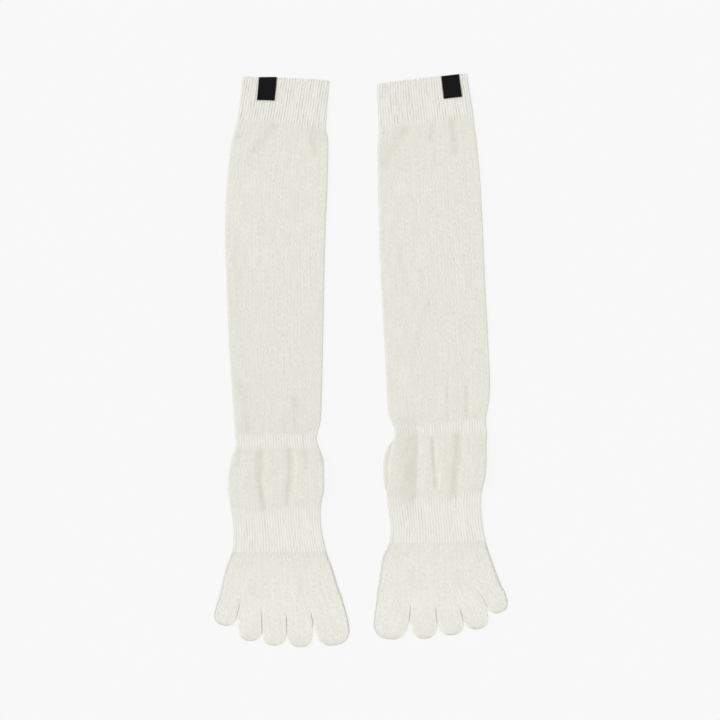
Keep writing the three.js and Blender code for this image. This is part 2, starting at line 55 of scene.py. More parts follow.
# Walls and knitting
LEG_WALL = 0.0012  # and of the ankle and the foot
BAND_WALL = 0.00135
CUFF_WALL = 0.0016
RIB_PITCH = 0.0022
RIB_CREST = 0.00022  # above the plain surface
RIB_VALLEY = 0.0004  # below it
RIB_POINTS = 8  # across one rib
RIB_SWELL = 0.6  # below 1, the crests are broad and the valleys narrow
RIB_FADE = 0.0026  # length over which ribs rise at a seam
FADE_UNEVEN = 0.8  # how much that length varies
RIB_UNEVEN = 0.45  # how much the depth of the ribs varies
RIB_DRIFT = 0.0002  # how far they wander sideways
DRIFT_LONG = 0.007  # length over which they wander
UNEVEN_LONG = 0.006  # length over which their depth changes
RIB_SHADE = 0.85  # share of the full shade in the valleys
PLAIN_SHADE = 0.22  # and where the ribs of a band have faded out
RUN_OUT_SHADE = 0.35  # share of the valleys' shade that is left on the foot
RIB_LOW = 0.35  # share of the height below which the ribs fade out over the floor
RIM = 0.00004  # from the last points of a wall to the edge of its end
CUFF_EDGE = (150, 120, 90, 60, 30)  # points round the free edge, in degrees
WALE_PITCH = 0.0027  # faint columns of the plain leg
WALE_DEPTH = 0.00003
WALE_DRIFT = 0.35  # how far they wander, in columns
WALES_TOGETHER = 3  # how many wander as one
WALE_DRIFT_LONG = 0.05
PLAIN_STEP = 0.00055  # between the points across a plain zone
UNDER_STEPS = 14  # across the underside

# Form of a flattened tube
LOWER_BEND = 0.45  # share of the height below the side fold
CROWN = 0.00035  # how much the top bulges
ANKLE_CROWN = 0.0007  # how much more the top bulges over the heel pouch
EDGE_CALM = 0.005  # length from the side over which folds and waves grow
LEAST_HOLLOW = 0.00035  # left between the two layers under a fold
FOLD_FULL = 0.0048  # depth at which a fold's painted shade is full, as dark as in a rib valley
POUCH_LIFT = 0.0026  # how high the ankle's lower layer lies over the pouch
LIFT_RUN = 0.0045  # length over which the lower layer rises
SWELL_OUT = 0.009  # how far outside the ankle the upper layer starts to rise
SWELL_IN = 0.005  # and how far inside it is up

# Soft unevenness of the cloth
WAVE_DEPTH = 0.00016
WAVE_ACROSS = 0.011
WAVE_ALONG = 0.034
FINE_DEPTH = 0.5  # of the finer waves, as a share of the broad ones
FINE_ACROSS = 2.3  # how many of them go on one broad wave
FINE_ALONG = 1.9
NOISE_GRID = 64
SEED = 7
FINE_START = (11, 5)  # places in the noise
UNEVEN_START = 20
FADE_START = 40

# The folded heel pouch
POUCH_CLEAR = 0.00035  # from its top to the ankle
POUCH_END = 0.6  # share of its height at its ends
POUCH_ROUND = 0.005  # length over which it rises from them
LIP_DEPTH = 0.0006  # of the crease between its layers
UPPER_LIP_IN = 0.005  # how far its upper layer stays behind the lower one
LIP_POINTS = 28
POUCH_STEP = 0.001
POUCH_COLUMNS = 40  # at least, across each face

# The toes
SIDE_POINTS = 7  # for each of the two bends of a side
FOOT_STEP = 0.00056
FOOT_ROW = 0.0011
TOE_ROUND = 0.5  # length of the rounded tip, in widths of the toe
TOE_BLUNT = 0.72  # below 1, the tip is blunter than a half circle
TOE_LEAVES = 0.3  # share of its length where a toe leaves the foot
ROOT_RISEN = 0.74  # share of a toe's height at its root
LEAVES_RISEN = 0.88  # and where it leaves the foot
TIP_RISEN = 0.72  # and at its tip
TOE_FULL = 0.85  # share of the way to the rounded tip where it has its full size
TOE_CROWN = 0.0003
TIP_STATIONS = 17
TIP_LAST = 88.5  # where the last of them stands, in degrees round the tip
SIDE_ROOM = 0.49  # share of a toe's width that the rounding of one side may take
LEAST_THICK = 0.3  # share of its thickness that a toe keeps in a furrow
HALF_SLIT = 0.00008
SLIT_OPENS = 0.004  # length over which it opens to that
SLIT_PARTS = 0.0022  # how far before and after the end of a slit the toes part
SIDE_ROUNDS = 0.005  # length over which the side of a toe rounds off beside a slit
PRESSED_ROUND = 0.28  # share of its full rounding while a toe is pressed to its neighbour
FREE_ROUND = 0.5  # and where it lies free
TIP_ROUND = 0.55  # and at the tip
FURROW_DEEP = 0.0008  # at the start of a slit
FURROW_WIDE = 0.0013
FURROW_UP = 0.005  # length over which a furrow runs out towards the ankle
FURROW_DOWN = 0.005  # and towards the tips
INSIDE_SHARE = 0.6  # how much of a furrow the inside of the wall follows
TOE_SETTLES = 0.012  # length over which a toe takes its own height

# The label
LABEL_THICK = 0.0006
LABEL_CLEAR = 0.0003
LABEL_STEP = 0.0004
LABEL_ROUND = 0.00022

# Zones from the top down: name, wall, share of the full rib relief, spacing along, and that of the inside
ZONE = "name wall relief step inner"


def table(names, rows):
    """The rows of a table as dictionaries with the named columns."""
    columns = names.split()
    return [dict(zip(columns, row)) for row in rows]


ZONES = table(ZONE, [
    ("cuff", CUFF_WALL, 1, 0.0011, 0.006),
    ("leg", LEG_WALL, 0, 0.0015, 0.006),
    ("ankle_band", BAND_WALL, 0.75, 0.0009, 0.004),
    ("ankle", LEG_WALL, 0, 0.0008, 0.003),
    ("arch_band", BAND_WALL, 0.72, 0.0011, 0.006),
])

# Each sock: sections, seams, folds, pouch, foot edges, toes, slits and label.
# A section has the height of its middle, its left and right edges, how far its right end stands above
# its left one, how far its middle bows towards the toes, and the thickness of both layers together.
# The ribs of the arch band run on past the seam of the foot by ribs_past.
# A fold has its two ends, its rise, and its width to the left and to the right of its line.
# A toe has its root and its tip, its width and height, and its share of that width at the root. The
# toes go from left to right, so the big toe is the last of the left sock and the first of the right one.
SECTION = "y left right rise bow high"
FOLD = "x y to_x to_y rise wide other"
POUCH = "y left right"
EDGE = "y left right high"
TOE = "x y tip_x tip_y wide high root"
CUT = "x y to_x to_y"

LEFT = {
    "name": "left",
    "lean": -0.07,
    "sections": table(SECTION, [
        (0.234, -0.0985, -0.026, -0.003, -0.0008, 0.0042),
        (0.2155, -0.1002, -0.0278, -0.005, 0, 0.0042),
        (0.1957, -0.1026, -0.029, -0.0075, 0, 0.0042),
        (0.189, -0.105, -0.0275, -0.0065, 0, 0.0039),
        (0.179, -0.1075, -0.027, -0.005, 0, 0.0037),
        (0.144, -0.1115, -0.0278, -0.003, 0, 0.0036),
        (0.103, -0.113, -0.0295, -0.0015, 0, 0.0036),
        (0.0585, -0.1115, -0.0305, 0, 0, 0.0036),
        (0.009, -0.1095, -0.0315, 0.001, 0, 0.0036),
        (-0.034, -0.1065, -0.0325, 0.0015, 0, 0.0037),
        (-0.052, -0.1052, -0.0336, 0.0015, 0, 0.0037),
        (-0.061, -0.1045, -0.036, 0.0015, 0, 0.0037),
        (-0.067, -0.1037, -0.0365, 0.001, 0, 0.0037),
        (-0.073, -0.1047, -0.0345, 0.001, 0, 0.0038),
        (-0.082, -0.1077, -0.0312, 0.0005, 0, 0.0046),
        (-0.0965, -0.11, -0.0305, 0.0005, 0, 0.0046),
        (-0.108, -0.11, -0.0305, 0.001, 0, 0.0046),
        (-0.121, -0.1083, -0.033, 0.002, 0, 0.0038),
        (-0.1335, -0.1065, -0.0333, 0.001, 0, 0.0037),
        (-0.147, -0.106, -0.0315, 0.001, 0, 0.0037),
        (-0.1585, -0.107, -0.0287, 0.001, 0, 0.0037),
    ]),
    "seams": {"cuff": 0.234, "leg": 0.1957, "ankle_band": -0.061, "ankle": -0.073,
              "arch_band": -0.121, "foot": -0.1585},
    "folds": table(FOLD, [
        (-0.0715, 0.193, -0.0865, 0.176, -0.001, 0.004, 0.004),
        (-0.039, 0.192, -0.038, 0.171, -0.0009, 0.003, 0.004),
        (-0.099, 0.19, -0.106, 0.181, -0.0004, 0.0035, 0.0035),
        (-0.103, 0.101, -0.1015, 0.058, -0.0004, 0.004, 0.004),
        (-0.1015, 0.05, -0.1005, 0.021, -0.0004, 0.004, 0.004),
        (-0.098, -0.02, -0.093, -0.056, -0.0006, 0.004, 0.004),
        (-0.065, -0.033, -0.065, -0.056, 0.0004, 0.004, 0.004),
        (-0.053, -0.033, -0.053, -0.056, -0.0005, 0.0035, 0.0035),
        (-0.0965, -0.08, -0.093, -0.112, 0.0004, 0.006, 0.005),
        (-0.0822, -0.077, -0.083, -0.0965, -0.0016, 0.0042, 0.003),
        (-0.0822, -0.1035, -0.0795, -0.1225, -0.0018, 0.0034, 0.0022),
        (-0.0725, -0.098, -0.0705, -0.115, 0.0006, 0.005, 0.005),
        (-0.0675, -0.088, -0.074, -0.098, -0.0007, 0.004, 0.003),
        (-0.059, -0.075, -0.058, -0.095, -0.0013, 0.0027, 0.0034),
        (-0.0582, -0.1, -0.0608, -0.118, -0.0013, 0.0027, 0.0026),
        (-0.051, -0.082, -0.0485, -0.112, 0.0004, 0.005, 0.006),
        (-0.0458, -0.074, -0.045, -0.088, -0.0007, 0.003, 0.003),
        (-0.0996, -0.074, -0.101, -0.086, -0.0007, 0.0026, 0.0026),
    ]),
    "pouch": table(POUCH, [
        (-0.076, -0.096, -0.043),
        (-0.079, -0.103, -0.036),
        (-0.084, -0.107, -0.032),
        (-0.096, -0.109, -0.031),
        (-0.108, -0.1085, -0.031),
        (-0.114, -0.1045, -0.035),
        (-0.118, -0.096, -0.045),
    ]),
    "edges": table(EDGE, [
        (-0.147, -0.106, -0.0315, 0.0037),
        (-0.1585, -0.107, -0.0287, 0.0037),
        (-0.172, -0.1122, -0.0237, 0.0038),
        (-0.189, -0.1164, -0.0184, 0.0039),
        (-0.197, -0.1183, -0.0153, 0.0039),
        (-0.206, -0.1204, -0.0122, 0.0039),
        (-0.218, -0.1224, -0.0088, 0.0039),
    ]),
    "ends": (-0.197, -0.197),
    "rise": 0.001,
    "ribs_past": 0.0055,
    "toes": table(TOE, [
        (-0.1065, -0.186, -0.1143, -0.22, 0.0192, 0.0042, 0.8),
        (-0.0918, -0.188, -0.0922, -0.2327, 0.0202, 0.0044, 0.8),
        (-0.0713, -0.19, -0.0722, -0.2367, 0.0204, 0.0044, 0.8),
        (-0.0507, -0.19, -0.0504, -0.238, 0.0208, 0.0044, 0.8),
        (-0.0302, -0.186, -0.0214, -0.2363, 0.0288, 0.0048, 0.6),
    ]),
    "slits": table(CUT, [
        (-0.1001, -0.2, -0.1032, -0.214),
        (-0.0822, -0.2085, -0.082, -0.226),
        (-0.0618, -0.211, -0.0613, -0.228),
        (-0.0416, -0.2085, -0.0393, -0.22),
    ]),
    "label": {"from": 0.194, "to": 0.397, "above": -0.0007, "long": 0.019, "turn": 0.04},
}

RIGHT = {
    "name": "right",
    "lean": 0.0,
    "sections": table(SECTION, [
        (0.234, 0.0135, 0.088, 0.0085, -0.0005, 0.0042),
        (0.2148, 0.0137, 0.091, 0.0075, 0, 0.0042),
        (0.1965, 0.0148, 0.0938, 0.008, 0, 0.0042),
        (0.189, 0.014, 0.0946, 0.0075, 0, 0.0039),
        (0.178, 0.0135, 0.0962, 0.007, 0, 0.0037),
        (0.144, 0.014, 0.0993, 0.005, 0, 0.0036),
        (0.106, 0.015, 0.1013, 0.005, 0, 0.0036),
        (0.06, 0.0167, 0.1033, 0.0035, 0, 0.0036),
        (0.012, 0.0197, 0.1059, 0.0035, 0, 0.0036),
        (-0.026, 0.0213, 0.1073, 0.005, 0, 0.0037),
        (-0.042, 0.0229, 0.1055, 0.0055, 0, 0.0037),
        (-0.0502, 0.0262, 0.104, 0.0055, 0, 0.0037),
        (-0.0563, 0.028, 0.1042, 0.0047, 0, 0.0037),
        (-0.0625, 0.027, 0.1047, 0.004, 0, 0.0038),
        (-0.072, 0.025, 0.1043, 0.0045, 0, 0.0046),
        (-0.086, 0.0235, 0.1042, 0.0045, 0, 0.0046),
        (-0.099, 0.022, 0.1032, 0.0045, 0, 0.0046),
        (-0.1103, 0.0213, 0.101, 0.0065, 0, 0.0038),
        (-0.124, 0.0229, 0.1, 0.005, 0, 0.0037),
        (-0.138, 0.0244, 0.1013, 0.0035, 0, 0.0037),
        (-0.1508, 0.0234, 0.1039, 0.0015, 0, 0.0037),
    ]),
    "seams": {"cuff": 0.234, "leg": 0.1965, "ankle_band": -0.0502, "ankle": -0.0625,
              "arch_band": -0.1103, "foot": -0.1508},
    "folds": table(FOLD, [
        (0.0365, 0.191, 0.02, 0.163, -0.001, 0.004, 0.004),
        (0.0605, 0.195, 0.059, 0.186, -0.0009, 0.003, 0.003),
        (0.0765, 0.198, 0.079, 0.174, -0.0011, 0.0035, 0.0035),
        (0.033, 0.096, 0.0365, 0.058, -0.0004, 0.004, 0.004),
        (0.0575, 0.05, 0.0425, 0.0005, -0.0005, 0.004, 0.004),
        (0.098, 0.007, 0.0755, -0.0095, -0.0003, 0.004, 0.004),
        (0.0725, -0.013, 0.0725, -0.05, -0.0006, 0.0025, 0.002),
        (0.0785, -0.018, 0.0785, -0.048, 0.0004, 0.0035, 0.0035),
        (0.0887, -0.022, 0.0885, -0.044, -0.0009, 0.0024, 0.0024),
        (0.0455, -0.063, 0.0445, -0.112, -0.0016, 0.0125, 0.003),
        (0.0535, -0.068, 0.0525, -0.104, 0.0004, 0.0045, 0.0045),
        (0.0593, -0.066, 0.0623, -0.105, -0.0013, 0.0018, 0.002),
        (0.069, -0.07, 0.068, -0.104, 0.0003, 0.005, 0.005),
        (0.0812, -0.062, 0.0808, -0.083, -0.0015, 0.004, 0.0032),
        (0.079, -0.0895, 0.0772, -0.112, -0.0015, 0.0042, 0.0032),
        (0.092, -0.068, 0.0895, -0.104, 0.0004, 0.006, 0.006),
        (0.1025, -0.058, 0.1015, -0.078, -0.0008, 0.0025, 0.0025),
    ]),
    "pouch": table(POUCH, [
        (-0.065, 0.026, 0.092),
        (-0.068, 0.023, 0.096),
        (-0.072, 0.0213, 0.0985),
        (-0.077, 0.0196, 0.1),
        (-0.084, 0.0185, 0.1005),
        (-0.094, 0.0187, 0.1),
        (-0.101, 0.0195, 0.099),
        (-0.105, 0.021, 0.096),
        (-0.1075, 0.0245, 0.092),
    ]),
    "edges": table(EDGE, [
        (-0.138, 0.0244, 0.1013, 0.0037),
        (-0.1508, 0.0234, 0.1039, 0.0037),
        (-0.164, 0.0177, 0.1083, 0.0038),
        (-0.1805, 0.0152, 0.1141, 0.0039),
        (-0.189, 0.0136, 0.1178, 0.0039),
        (-0.198, 0.0122, 0.1208, 0.0039),
        (-0.212, 0.0112, 0.1244, 0.0039),
    ]),
    "ends": (-0.193, -0.187),
    "rise": 0.0015,
    "ribs_past": 0.003,
    "toes": table(TOE, [
        (0.029, -0.178, 0.0234, -0.2314, 0.0292, 0.0048, 0.75),
        (0.0509, -0.184, 0.053, -0.231, 0.0212, 0.0044, 0.8),
        (0.0716, -0.184, 0.0756, -0.228, 0.0212, 0.0044, 0.8),
        (0.0898, -0.18, 0.0974, -0.223, 0.0202, 0.0044, 0.8),
        (0.1048, -0.174, 0.1152, -0.2094, 0.0184, 0.0042, 0.65),
    ]),
    "slits": table(CUT, [
        (0.0412, -0.2022, 0.0399, -0.2178),
        (0.062, -0.205, 0.063, -0.2194),
        (0.082, -0.2045, 0.0851, -0.217),
        (0.0993, -0.1932, 0.1044, -0.204),
    ]),
    "label": {"from": 0.712, "to": 0.907, "above": -0.0006, "long": 0.0182, "turn": 0.02},
}


def curve(rows, column):
    """A smooth curve through one column of a table whose first column falls from row to row."""
    ys = np.array([row["y"] for row in rows], float)
    values = np.array([row[column] for row in rows], float)
    before = np.maximum(np.arange(len(rows)) - 1, 0)
    after = np.minimum(np.arange(len(rows)) + 1, len(rows) - 1)
    slopes = (values[after] - values[before]) / (ys[after] - ys[before])

    def at(y):
        below = np.clip(np.searchsorted(-ys, -np.asarray(y, float)), 1, len(ys) - 1)
        above = below - 1
        run = ys[below] - ys[above]
        t = (y - ys[above]) / run
        bend = t * t * (3 - 2 * t)
        level = values[above] * (1 - bend) + values[below] * bend
        return level + run * (slopes[above] * t * (1 - t) ** 2 - slopes[below] * t * t * (1 - t))

    return at


def smooth(t):
    """An even step from 0 to 1."""
    s = np.clip(t, 0, 1)
    return s * s * (3 - 2 * s)


def mix(a, b, share):
    return a + (b - a) * share


def hump(share):
    """0 at both ends and 1 in the middle."""
    return 1 - (2 * share - 1) ** 2


def section_at(sock, y):
    """The section of a sock at the heights y, as arrays."""
    if "curves" not in sock:
        sock["curves"] = {name: curve(sock["sections"], name) for name in SECTION.split()[1:]}
    section = {name: at(y) for name, at in sock["curves"].items()}
    inside = np.minimum(sock["seams"]["ankle"] - y, y - sock["seams"]["arch_band"])
    section["y"] = y
    section["width"] = section["right"] - section["left"]
    section["lift"] = POUCH_LIFT * smooth(inside / LIFT_RUN)
    section["swell"] = POUCH_LIFT * smooth((inside + SWELL_OUT) / (SWELL_OUT + SWELL_IN))
    return section


def rows_at(sock, y):
    """The same, with a row for each height."""
    return {name: value[:, None] for name, value in section_at(sock, y).items()}


def place(section, x):
    """The plan of a point of a section that lies x from its left edge."""
    u = x / section["width"]
    return section["left"] + x, section["y"] + section["rise"] * (u - 0.5) - section["bow"] * hump(u)


def fold_rise(folds, x, y):
    """The sum of the folds at points seen from above, each fading with distance from its line."""
    rise = np.zeros(np.shape(x))
    for fold in folds:
        run_x = fold["to_x"] - fold["x"]
        run_y = fold["to_y"] - fold["y"]
        t = ((x - fold["x"]) * run_x + (y - fold["y"]) * run_y) / (run_x**2 + run_y**2)
        near = np.clip(t, 0, 1)
        off_x = x - fold["x"] - near * run_x
        off_y = y - fold["y"] - near * run_y
        wide = np.where(off_x < 0, fold["wide"], fold["other"])
        rise = rise + fold["rise"] * np.exp(-(off_x**2 + off_y**2) / wide**2)
    return rise


noise_values = np.random.default_rng(SEED).uniform(-1, 1, (NOISE_GRID, NOISE_GRID))


def soft_noise(x, y):
    """Smooth noise between -1 and 1 over the plane, one cell to a unit."""
    column = np.floor(x).astype(int)
    row = np.floor(y).astype(int)
    s = smooth(x - column)
    t = smooth(y - row)

    def value(i, j):
        return noise_values[(column + i) % NOISE_GRID, (row + j) % NOISE_GRID]

    return mix(mix(value(0, 0), value(1, 0), s), mix(value(0, 1), value(1, 1), s), t)


def waves(x, y):
    """The soft unevenness of cloth that lies flat."""
    broad = soft_noise(x / WAVE_ACROSS, y / WAVE_ALONG)
    fine = soft_noise(FINE_ACROSS * x / WAVE_ACROSS + FINE_START[0],
                      FINE_ALONG * y / WAVE_ALONG + FINE_START[1])
    return WAVE_DEPTH * (broad + FINE_DEPTH * fine)


def outline(width, high, q):
    """A flattened tube's outline and the direction that faces out. q runs from 0 to 6: lower left bend,
    upper left bend, top, upper right bend, lower right bend, underside."""
    low = LOWER_BEND * high
    up = high - low
    mirrored = (q > 3) & (q < 5)
    part = np.where(mirrored, 5 - q, q)
    turn = (part % 1) * math.pi / 2
    sine = np.sin(turn)
    cosine = np.cos(turn)
    stages = [part < 1, part < 2, part <= 3]
    under = width - low - (width - 2 * low) * (q - 5)
    flat = up + (width - 2 * up) * (part - 2)
    x = np.select(stages, [low * (1 - sine), up * (1 - cosine), flat], under)
    z = np.select(stages, [low * (1 - cosine), low + up * sine, high + 0 * q], 0 * q)
    out_x = np.select(stages, [-sine, -cosine, 0 * q], 0 * q)
    out_z = np.select(stages, [-cosine, sine, 1 + 0 * q], -1 + 0 * q)
    return np.where(mirrored, width - x, x), z, np.where(mirrored, -out_x, out_x), out_z


def spots(width, high, step):
    """The places round an outline, even over the sides and the top, and how far round each lies."""
    low = LOWER_BEND * high * math.pi / 2
    up = (1 - LOWER_BEND) * high * math.pi / 2
    ends = np.cumsum([0, low, up, width - 2 * (1 - LOWER_BEND) * high, up, low])
    over = np.linspace(0, ends[-1], round(ends[-1] / step) + 1)
    under = np.arange(1, UNDER_STEPS) / UNDER_STEPS
    q = np.concatenate([np.interp(over, ends, np.arange(6)), 5 + under])
    round_it = np.concatenate([over, ends[-1] + under * width])
    return q, round_it


def put(name, data):
    """An object with the data, in the scene."""
    made = bpy.data.objects.new(name, data)
    bpy.context.scene.collection.objects.link(made)
    return made


class Cloth:
    """Points and faces of one closed wall. For each point, knit holds its place on the flat cloth, across
    and along, and the share of darker colour it takes, from 0 to 1: painted shade in folds, between ribs
    and between toes, and a little tone where the ribs of a band fade out."""

    def __init__(self):
        self.points = []
        self.knit = []
        self.faces = []
        self.count = 0

    def add(self, points, across, along, sunk=0):
        """Adds an array of points, with their share of painted shade in sunk, and returns their numbers
        in the same shape.
        """
        shape = points.shape[:-1]
        start = self.count
        knit = np.stack([np.broadcast_to(value, shape) for value in (across, along, sunk)], -1)
        self.points.append(points.reshape(-1, 3))
        self.knit.append(knit.reshape(-1, 3))
        self.count += points.size // 3
        return np.arange(start, self.count).reshape(shape)

    def band(self, rings, inward=False):
        """Joins rows of numbers, each a closed ring, with quads."""
        a = rings[:-1]
        b = rings[1:]
        quads = np.stack([a, b, np.roll(b, -1, 1), np.roll(a, -1, 1)], -1).reshape(-1, 4)
        self.faces.extend((quads[:, ::-1] if inward else quads).tolist())

    def lid(self, ring, inward=False):
        """Closes a ring with a fan round its middle."""
        points = np.concatenate(self.points)[ring]
        knit = np.concatenate(self.knit)[ring].mean(0)
        middle = self.add(points.mean(0)[None, :], knit[0], knit[1])[0]
        after = np.roll(ring, -1)
        pairs = zip(after, ring) if inward else zip(ring, after)
        self.faces.extend([int(a), int(b), int(middle)] for a, b in pairs)

    def object(self, name, material):
        """A Blender object of the wall, with its faces turned out."""
        points = np.concatenate(self.points) + [PAIR_X, PAIR_Y, 0]
        faces = self.faces
        corners = np.array([face[:3] for face in faces])
        quads = np.array([face for face in faces if len(face) == 4])
        halves = ((corners[:, 0], corners[:, 1], corners[:, 2]), (quads[:, 0], quads[:, 2], quads[:, 3]))
        volumes = [points[a] * np.cross(points[b], points[c]) for a, b, c in halves]
        if sum(volume.sum() for volume in volumes) < 0:
            faces = [face[::-1] for face in faces]
        mesh = bpy.data.meshes.new(name)
        mesh.from_pydata(points.tolist(), [], faces)
        knit = mesh.attributes.new("knit", "FLOAT_VECTOR", "POINT")
        knit.data.foreach_set("vector", np.concatenate(self.knit).astype(np.float32).ravel())
        mesh.shade_smooth()
        mesh.materials.append(material)
        return put(name, mesh)


def pad(name, points, across, along, material):
    """A closed body, from rings of points."""
    cloth = Cloth()
    rings = cloth.add(points, across, along)
    cloth.band(rings)
    cloth.lid(rings[0])
    cloth.lid(rings[-1], inward=True)
    return cloth.object(name, material)


def levels(start, end, step):
    """Heights from one end to the other, spaced as evenly as the step allows."""
    return np.linspace(start, end, max(round(abs(end - start) / step), 1) + 1)


def tube_rings(sock, wall, y, q, inset, raised=0):
    """The rings of a tube's wall at the heights y, moved in by inset and with its relief raised outwards.
    Also the share of painted shade that their folds give them."""
    section = rows_at(sock, y)
    width = section["width"]
    high = section["high"]
    lift = section["lift"]
    swell = section["swell"]
    x, z, out_x, out_z = outline(width - 2 * inset, high - 2 * inset, q[None, :])
    share = z / (high - 2 * inset)
    raised = raised * smooth(share / RIB_LOW)
    x = x + inset + out_x * raised
    z = z + inset + out_z * raised
    plan_x, plan_y = place(section, x)
    calm = smooth(np.minimum(x, width - x) / EDGE_CALM) * share
    crown = (CROWN + ANKLE_CROWN * swell / POUCH_LIFT) * share * hump(x / width)
    deepest = LEAST_HOLLOW - (high - 2 * wall) - crown
    folded = fold_rise(sock["folds"], plan_x, plan_y) * calm
    fold = np.maximum(folded + waves(plan_x, plan_y) * calm, deepest)
    rings = np.stack([plan_x, plan_y, z + lift + (swell - lift) * share + crown + fold], -1)
    return rings, np.clip(-folded / FOLD_FULL, 0, 1)


def rib_relief(share, round_it, along, from_ends, plain_shade):
    """Rounded uneven ribs with narrow valleys, fading at the ends of their zone, and their shade."""
    ribs = round_it / RIB_PITCH
    drift = RIB_DRIFT * soft_noise(ribs / 2, along / DRIFT_LONG)
    uneven = 1 + RIB_UNEVEN * soft_noise(ribs + UNEVEN_START, along / UNEVEN_LONG)
    wave = np.abs(np.sin(math.pi * (round_it + drift) / RIB_PITCH)) ** RIB_SWELL
    fade = RIB_FADE * (1 + FADE_UNEVEN * soft_noise(ribs + FADE_START, 0 * ribs))
    risen = smooth(from_ends / fade)
    full = share * uneven * risen
    shade = RIB_SHADE * (1 - wave) * full + plain_shade * (1 - risen)
    return (-RIB_VALLEY + (RIB_CREST + RIB_VALLEY) * wave) * full, shade


def wale_relief(round_it, along):
    """Faint uneven columns of the plain knit."""
    drift = WALE_DRIFT * soft_noise(round_it / (WALES_TOGETHER * WALE_PITCH), along / WALE_DRIFT_LONG)
    return WALE_DEPTH * np.cos(2 * math.pi * (round_it / WALE_PITCH + drift))


def tube(sock, zone, start, end, material):
    """A knitted tube, open at both ends. The cuff's free end is a rounded edge."""
    wall = zone["wall"]
    free = zone["name"] == "cuff"
    middle = {name: float(value) for name, value in section_at(sock, (start + end) / 2).items()}
    step = RIB_PITCH / RIB_POINTS if zone["relief"] else PLAIN_STEP
    q, round_it = spots(middle["width"], middle["high"], step)
    top = start - wall / 2 if free else start
    y, inner_y = (np.concatenate([[top], levels(top - RIM, end + RIM, spacing), [end]])
                  for spacing in (zone["step"], zone["inner"]))
    along = (start - y)[:, None]
    across = round_it[None, :] + (sock["lean"] if free else 0) * (y - end)[:, None]
    over = q[None, :] <= 5
    if zone["relief"]:
        past = sock["ribs_past"] if zone["name"] == "arch_band" else 0
        from_ends = np.minimum(along + (2 * RIB_FADE if free else 0), (y - end)[:, None] + past)
        raised, shade = rib_relief(zone["relief"], across, along, from_ends, PLAIN_SHADE)
    else:
        raised = wale_relief(across, along)
        shade = 0 * raised
    raised = np.where(over, raised, 0)
    shade = np.where(over, shade, 0)
    outer, sunk = tube_rings(sock, wall, y, q, 0, raised)
    inner, _ = tube_rings(sock, wall, inner_y, q, wall)
    cloth = Cloth()
    # The outside takes the painted shade of its folds and rib valleys, and the ribs' tone where they fade
    outside = cloth.add(outer, across, along, sunk + shade)
    inside = cloth.add(inner[::-1], round_it[None, :], (start - inner_y)[::-1, None])
    cloth.band(np.vstack([outside, inside]))
    if free:
        turns = np.radians(CUFF_EDGE)[:, None, None]
        centre = (outer[0] + inner[0]) / 2
        arm = (outer[0] - inner[0]) / 2
        edge = centre + arm * np.cos(turns) + np.array([0, wall / 2, 0]) * np.sin(turns)
        cloth.band(np.vstack([inside[-1:], cloth.add(edge, across[0], along[0]), outside[:1]]))
    else:
        cloth.band(np.stack([inside[-1], outside[0]]))
    return cloth.object(f"{sock['name']}_{zone['name']}_knit", material)


def pouch(sock, material):
    """The folded layers of the heel as one rounded pad, its lower layer reaching further out."""
    left = curve(sock["pouch"], "left")
    right = curve(sock["pouch"], "right")
    first = sock["pouch"][0]["y"]
    last = sock["pouch"][-1]["y"]
    y = levels(first, last, POUCH_STEP)
    section = rows_at(sock, y)
    rounded = POUCH_END + (1 - POUCH_END) * smooth(np.minimum(first - y, y - last) / POUCH_ROUND)
    high = (section["lift"] - POUCH_CLEAR) * rounded[:, None]
    share = (1 - np.cos(np.linspace(0, math.pi, LIP_POINTS))) / 2
    lips = LIP_DEPTH * (1 - np.sqrt(np.abs(np.sin(2 * math.pi * share))))
    lips = lips + UPPER_LIP_IN * smooth(2 * share - 0.5)
    inner = np.linspace(0, 1, round((left(y) - right(y)).ptp() / PLAIN_STEP) + POUCH_COLUMNS)[1:-1]
    a = left(y)[:, None] - section["left"]
    b = right(y)[:, None] - section["left"]
    top = mix(a + lips[-1], b - lips[-1], inner)
    under = mix(b - lips[0], a + lips[0], inner)
    x = np.hstack([a + lips, top, b - lips[::-1], under])
    flat = np.concatenate([share, np.ones(len(inner)), share[::-1], np.zeros(len(inner))])
    plan_x, plan_y = place(section, x)
    points = np.stack([plan_x, plan_y, flat[None, :] * high], -1)
    return pad(f"{sock['name']}_heel_pouch_knit", points, x, (first - y)[:, None], material)


def start_and_run(cut):
    """Where a slit starts, and its direction."""
    start = np.array([cut["x"], cut["y"]])
    run = np.array([cut["to_x"], cut["to_y"]]) - start
    return start, run / np.hypot(*run)


class FootPlan:
    """The plan of a foot, from its seam to the line where the toes begin. across runs from 0 to 1."""

    def __init__(self, sock, back):
        self.sock = sock
        self.seam = sock["seams"]["foot"]
        self.edge = {name: curve(sock["edges"], name) for name in EDGE.split()[1:]}
        ends = [(float(self.edge[side](y)), y) for side, y in zip(("left", "right"), sock["ends"])]
        crotches = []
        for cut in sock["slits"]:
            start, run = start_and_run(cut)
            crotches.append(start - back * run)
        self.corners = np.array([ends[0], *crotches, ends[1]])
        corner_x, corner_y = self.corners.T
        self.shares = (corner_x - self.edge["left"](corner_y)) / self.width(corner_y)
        self.reach = float(self.width(self.seam))

    def width(self, y):
        return self.edge["right"](y) - self.edge["left"](y)

    def point(self, along, across):
        """The plan of points at shares of the length and of the width."""
        seam_y = self.seam + self.sock["rise"] * (across - 0.5)
        root_y = np.interp(across, self.shares, self.corners[:, 1])
        y = mix(seam_y, root_y, along)
        return self.edge["left"](y) + across * self.width(y), y


